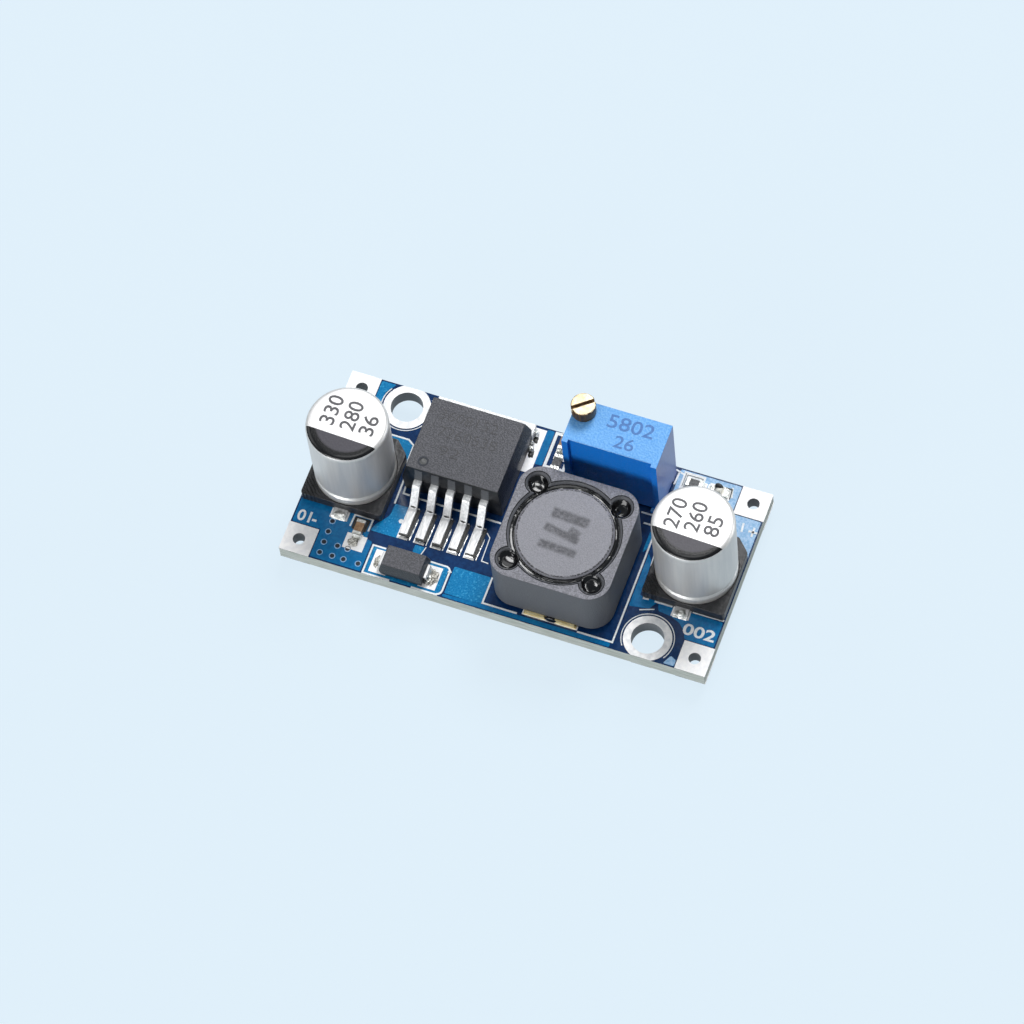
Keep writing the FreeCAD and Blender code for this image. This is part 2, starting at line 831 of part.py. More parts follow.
def make_inductor_adhesive():
    """The glue that fills the gap and the reliefs between the drum and its shield."""
    glue = new_body("inductor_adhesive", "inductor_x", "inductor_y", SEAT)
    level = "(shield_top - adhesive_set_down)"
    ring = new_sketch(glue, offset=level)
    circle(ring, "0", "0", "shield_bore")
    pad(glue, ring, "adhesive_depth", reverse=True)
    lobes = new_sketch(glue, offset=level)
    for x, y in signs("sqrt(2) * shield_lobe_reach", "sqrt(2) * shield_lobe_reach"):
        circle(lobes, x, y, "2 * shield_lobe_radius")
    pad(glue, lobes, "adhesive_depth", reverse=True)
    drum_room = new_sketch(glue, offset=level)
    circle(drum_room, "0", "0", "drum_flange")
    pocket(glue, drum_room, "adhesive_depth")


# Multi-turn trimmer: housing, base, screw with worm, toothed rotor, wiper and element

SCREW_X = "(-trimmer_length / 2 + screw_inset_x)"
SCREW_Y = "(trimmer_depth / 2 - screw_inset_y)"
INNER_FRONT = "(-trimmer_depth / 2 + trimmer_recess + trimmer_front_wall)"
INNER_BACK = "(trimmer_depth / 2 - trimmer_wall)"
CAVITY_TOP = "(trimmer_height - trimmer_roof)"
BASE_TOP = "(trimmer_standoff + trimmer_base_thickness)"
BEARING_TOP = f"({BASE_TOP} + bearing_height)"

# The toothed wheel is as large as the cavity lets it be, upwards or beside the worm
WHEEL_LEFT = f"({SCREW_X} + worm_core / 2 + worm_mesh_clearance)"
WHEEL_ROOM_UP = f"({CAVITY_TOP} - {BASE_TOP} - rotor_floor_gap - rotor_roof_gap)"
WHEEL_ROOM_ACROSS = f"(trimmer_length / 2 - trimmer_wall - rotor_side_gap - {WHEEL_LEFT})"
ROTOR_TIP = f"(min({WHEEL_ROOM_UP}; {WHEEL_ROOM_ACROSS}) / 2)"
ROTOR_ROOT = f"({ROTOR_TIP} - (worm_outer - worm_core) / 2)"
ROTOR_X = f"({WHEEL_LEFT} + {ROTOR_TIP})"
ROTOR_Z = f"({BASE_TOP} + rotor_floor_gap + {ROTOR_TIP})"
WORM_LEAD = f"(pi * ({ROTOR_TIP} + {ROTOR_ROOT}) / rotor_teeth)"
TRACK_OUTER = f"(2 * {ROTOR_TIP} - 2 * track_inset)"
TRACK_INNER = f"({TRACK_OUTER} - 2 * track_width)"
WIPER_REACH = f"(({TRACK_OUTER} + {TRACK_INNER}) / 4)"


def trimmer_node(label, x="0", y="0", z="0"):
    """A body whose place is given from the trimmer's own centre on the board."""
    return new_body(label, f"trimmer_x + {x}", f"trimmer_y + {y}", f"board_thickness + {z}")


def make_trimmer_housing():
    housing = trimmer_node("trimmer_housing")
    half, front, back = "trimmer_length / 2", "-trimmer_depth / 2", "trimmer_depth / 2"
    outline = new_sketch(housing, offset="trimmer_standoff")
    polygon(outline, [
        (f"-{half}", front),
        (f"-{half} + trimmer_post", front),
        (f"-{half} + trimmer_post", f"{front} + trimmer_recess"),
        (f"{half} - trimmer_post", f"{front} + trimmer_recess"),
        (f"{half} - trimmer_post", front),
        (half, front),
        (half, back),
        (f"-{half}", back),
    ])
    pad(housing, outline, "trimmer_height - trimmer_standoff")
    cavity = new_sketch(housing, offset="trimmer_standoff")
    width = "(trimmer_length - 2 * trimmer_wall)"
    depth = f"({INNER_BACK} - {INNER_FRONT})"
    rectangle(cavity, "0", f"({INNER_BACK} + {INNER_FRONT}) / 2", width, depth)
    pocket(housing, cavity, f"{CAVITY_TOP} - trimmer_standoff", reverse=True)
    screw_hole = new_sketch(housing, offset="trimmer_height")
    circle(screw_hole, SCREW_X, SCREW_Y, "screw_shoulder + 2 * screw_clearance")
    pocket(housing, screw_hole, "trimmer_roof + 2 * screw_clearance")
    rotor_back = f"({SCREW_Y} + rotor_thickness / 2 + screw_clearance)"
    pivot_steps = {
        "pivot_shoulder": rotor_back,
        "rotor_bore - 2 * pivot_clearance": f"({rotor_back} - rotor_bore_depth)",
    }
    for diameter, reach in pivot_steps.items():
        boss = new_sketch(housing, "XZ_Plane", offset=f"-{INNER_BACK}")
        circle(boss, ROTOR_X, ROTOR_Z, diameter)
        pad(housing, boss, f"{INNER_BACK} - {reach}")
    feet = new_sketch(housing)
    for x, y in signs("(trimmer_length - trimmer_foot)", "(trimmer_depth - trimmer_foot)"):
        rectangle(feet, x, y, "trimmer_foot", "trimmer_foot")
    pad(housing, feet, "trimmer_standoff")


def make_trimmer_base():
    """The plate that closes the housing: pin holes, and the post that the screw turns in."""
    base = trimmer_node("trimmer_base")
    outline = new_sketch(base, offset="trimmer_standoff")
    width = "(trimmer_length - 2 * trimmer_wall)"
    depth = f"({INNER_BACK} - {INNER_FRONT})"
    rectangle(outline, "0", f"({INNER_BACK} + {INNER_FRONT}) / 2", width, depth)
    for step in (-1, 0, 1):
        circle(outline, f"{step} * pin_spacing", f"{PIN_Y} - trimmer_y", "pin_diameter")
    pad(base, outline, "trimmer_base_thickness")
    post = new_sketch(base, offset=BASE_TOP)
    circle(post, SCREW_X, SCREW_Y, "bearing_post")
    pad(base, post, "bearing_height")
    blind_hole = new_sketch(base, offset=BEARING_TOP)
    circle(blind_hole, SCREW_X, SCREW_Y, "journal_diameter + 2 * screw_clearance")
    pocket(base, blind_hole, "journal_length + screw_clearance")


def make_trimmer_screw():
    """The adjusting screw: slotted head, sealed shoulder, clip neck and worm."""
    screw = trimmer_node("trimmer_screw", SCREW_X, SCREW_Y)
    head_low = "(trimmer_height + screw_clearance)"
    head_top = "(trimmer_height + screw_head_height)"
    seal_low = "(trimmer_height - seal_down - seal_wire / 2 - screw_clearance)"
    seal_high = "(trimmer_height - seal_down + seal_wire / 2 + screw_clearance)"
    neck_high = f"({CAVITY_TOP} - screw_clearance)"
    neck_low = f"({neck_high} - clip_washer_thickness)"
    collar_low = f"({neck_low} - collar_length)"
    core_low = f"({BEARING_TOP} + screw_clearance)"
    journal_low = f"({core_low} - journal_length)"
    revolve(screw, [
        ("0", journal_low),
        ("journal_diameter / 2", journal_low),
        ("journal_diameter / 2", core_low),
        ("worm_core / 2", core_low),
        ("worm_core / 2", collar_low),
        ("collar_diameter / 2", collar_low),
        ("collar_diameter / 2", neck_low),
        ("clip_neck_diameter / 2", neck_low),
        ("clip_neck_diameter / 2", neck_high),
        ("screw_shoulder / 2", neck_high),
        ("screw_shoulder / 2", seal_low),
        ("seal_groove_diameter / 2", seal_low),
        ("seal_groove_diameter / 2", seal_high),
        ("screw_shoulder / 2", seal_high),
        ("screw_shoulder / 2", head_low),
        ("screw_head / 2", head_low),
        ("screw_head / 2", f"{head_top} - screw_head_chamfer"),
        ("screw_head / 2 - screw_head_chamfer", head_top),
        ("0", head_top),
    ])
    slot = new_sketch(screw, offset=head_top)
    bind(slot, "AttachmentOffset.Rotation.Angle", "screw_slot_angle")
    rectangle(slot, "0", "0", "2 * screw_head", "screw_slot_width")
    pocket(screw, slot, "screw_slot_depth")
    thread = new_sketch(screw, "XZ_Plane")
    start = f"({ROTOR_Z} - worm_turns * {WORM_LEAD} / 2)"
    polygon(thread, [
        ("worm_core / 2 - worm_embed", f"{start} - worm_root_width / 2"),
        ("worm_outer / 2", f"{start} - worm_tip_width / 2"),
        ("worm_outer / 2", f"{start} + worm_tip_width / 2"),
        ("worm_core / 2 - worm_embed", f"{start} + worm_root_width / 2"),
    ])
    worm = screw.newObject("PartDesign::AdditiveHelix", "trimmer_screw_worm")
    worm.Profile = thread
    worm.ReferenceAxis = (origin_feature(screw, "Z_Axis"), [""])
    worm.Mode = "pitch-height-angle"
    bind(worm, "Pitch", WORM_LEAD)
    bind(worm, "Height", f"worm_turns * {WORM_LEAD}")


def make_screw_seal():
    """The rubber ring in the screw's groove."""
    seal = trimmer_node("screw_seal", SCREW_X, SCREW_Y)
    profile = new_sketch(seal, "XZ_Plane")
    centre = "(seal_groove_diameter + seal_wire) / 2"
    circle(profile, centre, "trimmer_height - seal_down", "seal_wire - seal_slack")
    ring = seal.newObject("PartDesign::Revolution", "screw_seal_turned")
    ring.Profile = profile
    ring.ReferenceAxis = (origin_feature(seal, "Z_Axis"), [""])
    ring.Angle = 360


def make_screw_clip():
    """The open washer under the roof that keeps the screw from lifting."""
    clip = trimmer_node("screw_clip", SCREW_X, SCREW_Y)
    low = f"({CAVITY_TOP} - screw_clearance - clip_washer_thickness)"
    ring = new_sketch(clip, offset=low)
    circle(ring, "0", "0", "clip_washer")
    circle(ring, "0", "0", "clip_neck_diameter")
    washer = pad(clip, ring, "clip_washer_thickness")
    mouth = new_sketch(clip, offset=low)
    rectangle(mouth, "clip_washer / 2", "0", "clip_washer", "clip_mouth")
    pocket(clip, mouth, "clip_washer_thickness", reverse=True)


def make_trimmer_rotor():
    """The toothed wheel that the worm turns, with its hub and blind pivot bore."""
    rotor = trimmer_node("trimmer_rotor", ROTOR_X, SCREW_Y, ROTOR_Z)
    front = "-rotor_thickness / 2"
    disc = new_sketch(rotor, "XZ_Plane", offset=front)
    circle(disc, "0", "0", f"2 * {ROTOR_ROOT}")
    wheel = pad(rotor, disc, "rotor_thickness")
    tooth = new_sketch(rotor, "XZ_Plane", offset=front)
    polygon(tooth, [
        (f"-{ROTOR_ROOT} + rotor_tooth_embed", "-rotor_tooth_root / 2"),
        (f"-{ROTOR_TIP}", "-rotor_tooth_tip / 2"),
        (f"-{ROTOR_TIP}", "rotor_tooth_tip / 2"),
        (f"-{ROTOR_ROOT} + rotor_tooth_embed", "rotor_tooth_root / 2"),
    ])
    first = pad(rotor, tooth, "rotor_thickness")
    teeth = rotor.newObject("PartDesign::PolarPattern", "trimmer_rotor_teeth")
    teeth.Originals = [first]
    teeth.Axis = (origin_feature(rotor, "Y_Axis"), [""])
    teeth.Angle = 360
    bind(teeth, "Occurrences", "rotor_teeth")
    rotor.Tip = teeth
    hub = new_sketch(rotor, "XZ_Plane", offset="rotor_thickness / 2")
    circle(hub, "0", "0", "rotor_hub")
    pad(rotor, hub, "rotor_hub_length")
    bore = new_sketch(rotor, "XZ_Plane", offset=front)
    circle(bore, "0", "0", "rotor_bore")
    pocket(rotor, bore, "rotor_bore_depth", reverse=True)


HUB_FRONT = f"({SCREW_Y} - rotor_thickness / 2 - rotor_hub_length)"
TRACK_FACE = f"({INNER_FRONT} + element_thickness + track_thickness)"


def make_trimmer_wiper():
    """The spring-bronze wiper on the hub, with a contact over the track and the collector."""
    wiper = trimmer_node("trimmer_wiper", ROTOR_X, HUB_FRONT, ROTOR_Z)
    plate = new_sketch(wiper, "XZ_Plane")
    circle(plate, "0", "0", "wiper_plate")
    pad(wiper, plate, "wiper_thickness")
    arm = new_sketch(wiper, "XZ_Plane")
    rectangle(arm, "0", f"{WIPER_REACH} / 2", "wiper_arm_width", f"{WIPER_REACH} + wiper_arm_width")
    pad(wiper, arm, "wiper_thickness")
    contacts = new_sketch(wiper, "XZ_Plane")
    circle(contacts, "0", WIPER_REACH, "wiper_contact")
    circle(contacts, "0", "0", "wiper_contact")
    pad(wiper, contacts, f"{HUB_FRONT} - {TRACK_FACE} - wiper_gap")


def make_trimmer_element():
    """The ceramic plate behind the front wall."""
    element = trimmer_node("trimmer_element")
    plate = new_sketch(element, "XZ_Plane", offset=f"-({INNER_FRONT} + element_thickness)")
    height = f"({CAVITY_TOP} - {BASE_TOP} - element_margin)"
    width = "(trimmer_length - 2 * trimmer_wall - 2 * element_margin)"
    rectangle(plate, "0", f"{BASE_TOP} + {height} / 2", width, height)
    pad(element, plate, "element_thickness")


def make_resistive_track():
    """The open resistive ring and the round collector printed on the ceramic plate."""
    track = trimmer_node("resistive_track")
    offset = f"-{TRACK_FACE}"
    ring = new_sketch(track, "XZ_Plane", offset=offset)
    circle(ring, ROTOR_X, ROTOR_Z, TRACK_OUTER)
    circle(ring, ROTOR_X, ROTOR_Z, TRACK_INNER)
    pad(track, ring, "track_thickness")
    gap = new_sketch(track, "XZ_Plane", offset=offset)
    below = f"{ROTOR_Z} - {TRACK_OUTER} / 2"
    rectangle(gap, ROTOR_X, below, "track_gap", f"{TRACK_OUTER} - 2 * track_thickness")
    pocket(track, gap, "track_thickness", reverse=True)
    collector = new_sketch(track, "XZ_Plane", offset=offset)
    circle(collector, ROTOR_X, ROTOR_Z, "collector_diameter")
    pad(track, collector, "track_thickness")


def make_trimmer_pins():
    pins = trimmer_node("trimmer_pins", "-pin_spacing", f"{PIN_Y} - trimmer_y", "-board_thickness")
    section = new_sketch(pins, offset="-pin_drop")
    circle(section, "0", "0", "pin_diameter")
    rise = f"({ROTOR_Z} - {WIPER_REACH} - wiper_arm_width / 2 - pin_wiper_gap)"
    pin = pad(pins, section, f"pin_drop + board_thickness + {rise}")
    repeat(pins, [pin], "X_Axis", "pin_spacing", 3)


def make_pin_solder():
    """A cone of solder round each pin under the board."""
    joints = trimmer_node("pin_solder", "-pin_spacing", f"{PIN_Y} - trimmer_y", "-board_thickness")
    low = "(-copper_thickness - pin_solder_height)"
    cone = revolve(joints, [
        ("pin_diameter / 2", low),
        ("pin_solder_top / 2", low),
        ("pin_solder_foot / 2", "-copper_thickness"),
        ("pin_diameter / 2", "-copper_thickness"),
    ])
    repeat(joints, [cone], "X_Axis", "pin_spacing", 3)


# Rectifier diode: a moulded block with a strip wrapped under each end

def make_diode_body():
    package = new_body("diode_body", "diode_x", "diode_y", f"{SEAT} + diode_parting")
    upper = new_sketch(package)
    rectangle(upper, "0", "0", "diode_length", "diode_width")
    pad(package, upper, "diode_height - diode_parting", taper="-diode_draft")
    lower = new_sketch(package)
    rectangle(lower, "0", "0", "diode_length", "diode_width")
    under = "diode_parting - diode_terminal_thickness"
    pad(package, lower, under, reverse=True, taper="-diode_draft / 2")
    slots = new_sketch(package, "XZ_Plane", offset="-diode_terminal_width / 2")
    for side in (-1, 1):
        centre = f"{side} * (diode_length / 2 - diode_terminal_embed / 2)"
        rectangle(slots, centre, "0", "diode_terminal_embed", "diode_terminal_thickness")
    pocket(package, slots, "diode_terminal_width", reverse=True)


def make_diode_terminals():
    terminals = new_body("diode_terminals", "diode_x", "diode_y", SEAT)
    profile = new_sketch(terminals, "XZ_Plane", offset="-diode_terminal_width / 2")
    top = "diode_parting + diode_terminal_thickness / 2"
    under = "diode_parting - diode_terminal_thickness / 2"
    outer = "(diode_length / 2 + diode_terminal_reach)"
    inner = f"({outer} - diode_terminal_thickness)"
    root = "(diode_length / 2 - diode_terminal_embed)"
    toe = f"({outer} - diode_terminal_foot)"
    polygon(profile, [
        (root, top),
        (outer, top),
        (outer, "0"),
        (toe, "0"),
        (toe, "diode_terminal_thickness"),
        (inner, "diode_terminal_thickness"),
        (inner, under),
        (root, under),
    ])
    strip = pad(terminals, profile, "diode_terminal_width")
    outer_bends = [{"x": outer, "z": top}, {"x": outer, "z": "0"}]
    formed = dress_edges(
        terminals,
        "Fillet",
        strip,
        lambda edge: runs_along(edge, Vector(0, 1, 0))
        and any(passes(edge, **bend) for bend in outer_bends),
        "diode_bend_radius",
    )
    pair = terminals.newObject("PartDesign::Mirrored", "diode_terminals_pair")
    pair.Originals = [strip, formed]
    pair.MirrorPlane = (origin_feature(terminals, "YZ_Plane"), [""])
    terminals.Tip = pair


# Chip parts: a block with a tinned cap on each end

CHIP_NAMES = {
    "input_chip": ("input_chip_capacitor", "ceramic_height"),
    "feedback_chip": ("feedback_resistor", "resistor_height"),
    "bypass_chip": ("feedback_capacitor", "ceramic_height"),
    "lamp_resistor": ("lamp_resistor", "resistor_height"),
    "lamp": ("indicator_lamp", "lamp_height"),
}


def chip_rectangle(sketch, axis, offset, length, width):
    if axis == "X":
        rectangle(sketch, offset, "0", length, width)
    else:
        rectangle(sketch, "0", offset, width, length)


def make_chip(key):
    x, y, axis = CHIP_PLACES[key]
    label, height = CHIP_NAMES[key]
    block = new_body(label + "_body", x, y, f"{SEAT} + chip_end_proud")
    core = new_sketch(block)
    width = "chip_width - 2 * chip_end_proud"
    chip_rectangle(core, axis, "0", "chip_length - 2 * chip_end", width)
    pad(block, core, height)
    if key == "lamp":
        lens = new_sketch(block, offset=height)
        chip_rectangle(lens, axis, "0", "lamp_lens_width", width)
        dome = pad(block, lens, "lamp_lens_height")
        lens_top = f"{height} + lamp_lens_height"
        dress_edges(block, "Fillet", dome, lambda edge: passes(edge, z=lens_top), "lamp_lens_radius")
    ends = new_body(label + "_ends", x, y, SEAT)
    caps = new_sketch(ends)
    for side in (-1, 1):
        centre = f"{side} * (chip_length / 2 - chip_end / 2)"
        chip_rectangle(caps, axis, centre, "chip_end", "chip_width")
    pad(ends, caps, f"{height} + 2 * chip_end_proud")


# Solder fillets, each a sloped toe from its land to the end of a terminal

def slope_profile(sketch, root, toe, height):
    polygon(sketch, [(root, "0"), (toe, "0"), (toe, "solder_top_lip"), (root, height)])


def solder_slope(body, axis, x, y, outward, width, height):
    """A sloped toe at a terminal's end face, running outward along one axis."""
    if axis == "Y":
        sketch = new_sketch(body, "YZ_Plane", offset=f"{x} - ({width}) / 2")
        slope_profile(sketch, y, f"{y} + {outward} * solder_toe", height)
    else:
        sketch = new_sketch(body, "XZ_Plane", offset=f"-({y}) - ({width}) / 2")
        slope_profile(sketch, x, f"{x} + {outward} * solder_toe", height)
    pad(body, sketch, width)


def make_solder_fillets():
    solder = new_body("solder_fillets", z=SEAT)
    share = "solder_height_share"
    for step in LEAD_STEPS:
        x = f"regulator_x + {step} * lead_pitch"
        solder_slope(solder, "Y", x, LEAD_TOE_Y, -1, "lead_width", f"lead_thickness * {share}")
    for x, y in CAN_PLACES.values():
        for side in (-1, 1):
            end = f"{y} + {side} * (base_size / 2 + can_terminal_reach)"
            height = f"can_terminal_thickness * {share}"
            solder_slope(solder, "Y", x, end, side, "can_terminal_width", height)
    for side in (-1, 1):
        end = f"diode_x + {side} * (diode_length / 2 + diode_terminal_reach)"
        height = f"diode_parting * {share}"
        solder_slope(solder, "X", end, "diode_y", side, "diode_terminal_width", height)
    for key, (x, y, axis) in CHIP_PLACES.items():
        height = f"{CHIP_NAMES[key][1]} * {share}"
        for side in (-1, 1):
            step = f"{side} * chip_length / 2"
            if axis == "X":
                solder_slope(solder, "X", f"{x} + {step}", y, side, "chip_width", height)
            else:
                solder_slope(solder, "Y", x, f"{y} + {step}", side, "chip_width", height)


# The module, from the board up

make_board()
make_plated_holes("mounting_rings", MOUNT_CENTRES, "mount_bore", "mount_ring", "round")
make_plated_holes("wire_pads", WIRE_CENTRES, "wire_bore", "wire_land", "square")
make_plated_holes("pin_pads", PIN_CENTRES, "pin_hole", "pin_land", "round")
make_solder_lands()
for can_label, (can_x, can_y) in CAN_PLACES.items():
    make_can(can_label, can_x, can_y)
    make_can_base(can_label, can_x, can_y)
    make_can_terminals(can_label, can_x, can_y)
make_regulator_body()
make_regulator_tab()
make_regulator_leads()
make_inductor_clips()
make_inductor_base()
make_inductor_shield()
make_inductor_drum()
make_inductor_winding()
make_inductor_adhesive()
make_trimmer_housing()
make_trimmer_base()
make_trimmer_screw()
make_screw_seal()
make_screw_clip()
make_trimmer_rotor()
make_trimmer_wiper()
make_trimmer_element()
make_resistive_track()
make_trimmer_pins()
make_pin_solder()
make_diode_body()
make_diode_terminals()
for chip_key in CHIP_PLACES:
    make_chip(chip_key)
make_solder_fillets()
document.recompute()

# Every object and every node is tested before anything is written

failed = [item.Name for item in document.Objects if {"Invalid", "Error"} & set(item.State)]
failed += [node.Label for node in nodes if node.Shape.isNull() or not node.Shape.isValid()]
if failed:
    raise RuntimeError("failed: " + ", ".join(failed))

os.makedirs("parts", exist_ok=True)
for node in nodes:
    node.Shape.exportStep(os.path.join("parts", node.Label + ".step"))
    print(f"{node.Label}: {len(node.Shape.Solids)} solids, {node.Shape.Volume:.3f} mm3")
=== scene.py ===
"""Looks of the step-down converter module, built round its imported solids.

Lengths are in metres in the module's own frame: the origin is the centre of the board's
underside, +X runs to the output end, +Y to the long edge with the trimmer and +Z up. Sizes
in the classes are in millimetres, and MM turns them to metres. Points closer together than
SAME_PLACE millimetres are one.
"""

import logging
import math
from collections.abc import Callable, Sequence
from dataclasses import dataclass
from functools import cache

import bmesh
import bpy
from mathutils import Matrix, Vector, noise
from mathutils.bvhtree import BVHTree


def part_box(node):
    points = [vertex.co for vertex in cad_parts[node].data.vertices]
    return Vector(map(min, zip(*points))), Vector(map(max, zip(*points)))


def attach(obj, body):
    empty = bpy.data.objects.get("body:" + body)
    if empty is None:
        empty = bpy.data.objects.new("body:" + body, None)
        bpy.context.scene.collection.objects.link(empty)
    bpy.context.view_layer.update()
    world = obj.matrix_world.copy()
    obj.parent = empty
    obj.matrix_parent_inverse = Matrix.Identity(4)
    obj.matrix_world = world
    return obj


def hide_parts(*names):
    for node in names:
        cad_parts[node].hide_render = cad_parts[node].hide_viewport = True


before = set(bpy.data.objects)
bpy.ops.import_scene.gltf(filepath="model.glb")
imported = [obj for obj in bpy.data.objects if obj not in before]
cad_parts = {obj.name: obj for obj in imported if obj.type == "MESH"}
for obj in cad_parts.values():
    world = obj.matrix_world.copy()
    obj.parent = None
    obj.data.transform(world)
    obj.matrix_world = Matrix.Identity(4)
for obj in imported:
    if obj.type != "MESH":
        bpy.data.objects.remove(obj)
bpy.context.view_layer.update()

MM = 0.001
SAME_PLACE = 0.0005
HOME = "module"
Point = tuple[float, float]
log = logging.getLogger("converter_module")


def srgb(text: str) -> tuple[float, float, float, float]:
    """Turns an sRGB hex colour into the linear colour that a shader takes.

    Args:
        text: the colour as "#rrggbb".

    Returns:
        Linear red, green, blue and an alpha of 1.
    """
    parts = [int(text[i : i + 2], 16) / 255 for i in (1, 3, 5)]
    red, green, blue = (
        p / 12.92 if p <= 0.04045 else ((p + 0.055) / 1.055) ** 2.4 for p in parts
    )
    return red, green, blue, 1.0


def add_node(tree: bpy.types.NodeTree, kind: str, inputs: dict | None = None, **settings) -> bpy.types.Node:
    """Adds one node to a tree.

    Args:
        tree: the material's or the world's node tree.
        kind: the node's Blender type.
        inputs: a value, or another node's output to link, for each socket by name or index.
        settings: the node's own properties.

    Returns:
        The new node.
    """
    node = tree.nodes.new(kind)
    for name, value in settings.items():
        setattr(node, name, value)
    for key, value in (inputs or {}).items():
        if isinstance(value, bpy.types.NodeSocket):
            tree.links.new(value, node.inputs[key])
        else:
            node.inputs[key].default_value = value
    return node


class Recipe:
    """One material in the making: its tree, its shader and its coordinates in millimetres."""

    def __init__(self, name: str, colour: str, roughness: float, metallic: float) -> None:
        """Starts a material with its shader's plain numbers set on the shader itself.

        Args:
            name: the material's name.
            colour: the base colour as sRGB hex.
            roughness: the shader's roughness.
            metallic: the shader's metallic value.
        """
        self.material = bpy.data.materials.new(name)
        self.material.use_nodes = True
        self.tree = self.material.node_tree
        self.tree.nodes.clear()
        plain = {"Base Color": srgb(colour), "Roughness": roughness, "Metallic": metallic}
        self.shader = self.add("ShaderNodeBsdfPrincipled", plain)
        self.add("ShaderNodeOutputMaterial", {"Surface": self.shader.outputs[0]})
        place = self.add("ShaderNodeTexCoord").outputs["Object"]
        to_mm = {"Vector": place, "Scale": (1 / MM, 1 / MM, 1 / MM)}
        self.place = self.add("ShaderNodeMapping", to_mm).outputs[0]
        self.upward = None

    def add(self, kind: str, inputs: dict | None = None, **settings) -> bpy.types.Node:
        """Adds one node to this material; see add_node."""
        return add_node(self.tree, kind, inputs, **settings)

    def speckle(self, grain: float, low: float = 0.35, high: float = 0.65, detail: float = 2.0,
                stretch: tuple[float, float, float] = (1, 1, 1)) -> bpy.types.NodeSocket:
        """A cloudy pattern from 0 to 1.

        Args:
            grain: the size of its spots in millimetres.
            low: the noise value that counts as 0.
            high: the noise value that counts as 1.
            detail: how many finer layers it has.
            stretch: how much finer the pattern is along each axis.

        Returns:
            The socket with the pattern.
        """
        place = self.add("ShaderNodeMapping", {"Vector": self.place, "Scale": stretch}).outputs[0]
        cloud = self.add("ShaderNodeTexNoise", {"Vector": place, "Scale": 1 / grain, "Detail": detail})
        spread = {"Value": cloud.outputs[0], "From Min": low, "From Max": high}
        return self.add("ShaderNodeMapRange", spread).outputs[0]

    def two_tone(self, factor: bpy.types.NodeSocket, first: str | bpy.types.NodeSocket,
                 second: str | bpy.types.NodeSocket) -> bpy.types.NodeSocket:
        """Mixes two colours by a factor.

        Args:
            factor: 0 gives the first colour and 1 the second.
            first: sRGB hex, or a colour socket.
            second: sRGB hex, or a colour socket.

        Returns:
            The socket with the mixed colour.
        """
        first, second = (srgb(c) if isinstance(c, str) else c for c in (first, second))
        return self.add("ShaderNodeMix", {0: factor, 6: first, 7: second}, data_type="RGBA").outputs[2]

    def faces_up(self) -> bpy.types.NodeSocket:
        """A factor that is 1 on faces that look up or down and 0 on walls."""
        if self.upward is None:
            normal = self.add("ShaderNodeNewGeometry").outputs["Normal"]
            height = self.add("ShaderNodeSeparateXYZ", {0: normal}).outputs[2]
            size = self.add("ShaderNodeMath", {0: height}, operation="ABSOLUTE").outputs[0]
            spread = {"Value": size, "From Min": 0.8, "From Max": 0.97}
            self.upward = self.add("ShaderNodeMapRange", spread).outputs[0]
        return self.upward

    def from_axis(self, axis: Point, flat: bool = True) -> bpy.types.NodeSocket:
        """The place measured from an upright axis, in millimetres.

        Args:
            axis: the axis seen from above.
            flat: True leaves the height out.

        Returns:
            The socket with the place.
        """
        shift = {"Vector": self.place, "Location": (-axis[0], -axis[1], 0), "Scale": (1, 1, 0 if flat else 1)}
        return self.add("ShaderNodeMapping", shift).outputs[0]

    def vary(self, socket: str, factor: bpy.types.NodeSocket, low: float, high: float) -> None:
        """Lets one of the shader's numbers follow a pattern.

        Args:
            socket: the number's socket.
            factor: the pattern, from 0 to 1.
            low: the number where the pattern is 0.
            high: the number where it is 1.
        """
        spread = {"Value": factor, "To Min": low, "To Max": high}
        self.link(self.add("ShaderNodeMapRange", spread).outputs[0], socket)

    def relief(self, height: bpy.types.NodeSocket, depth: float) -> None:
        """Gives the surface a relief.

        Args:
            height: the pattern, from 0 to 1.
            depth: its real depth in millimetres.
        """
        bump = self.add("ShaderNodeBump", {"Height": height, "Distance": depth * MM, "Strength": 1.0})
        self.link(bump.outputs[0], "Normal")

    def link(self, value: bpy.types.NodeSocket, socket: str) -> None:
        """Links a pattern to one of the shader's sockets."""
        self.tree.links.new(value, self.shader.inputs[socket])


@dataclass(frozen=True)
class Finish:
    """A surface with grain: two near colours in spots of a real size, and a fine relief."""

    name: str
    colour: str
    spots: str
    grain: float
    roughness: float
    metallic: float = 0.0
    depth: float = 0.004

    @cache
    def material(self) -> bpy.types.Material:
        """The finish's material, made once."""
        recipe = Recipe(self.name, self.colour, self.roughness, self.metallic)
        self.paint(recipe)
        return recipe.material

    def paint(self, recipe: Recipe) -> None:
        """Gives the material its colours and relief.

        Args:
            recipe: the material in the making.
        """
        grain = recipe.speckle(self.grain)
        recipe.link(recipe.two_tone(grain, self.colour, self.spots), "Base Color")
        recipe.relief(grain, self.depth)


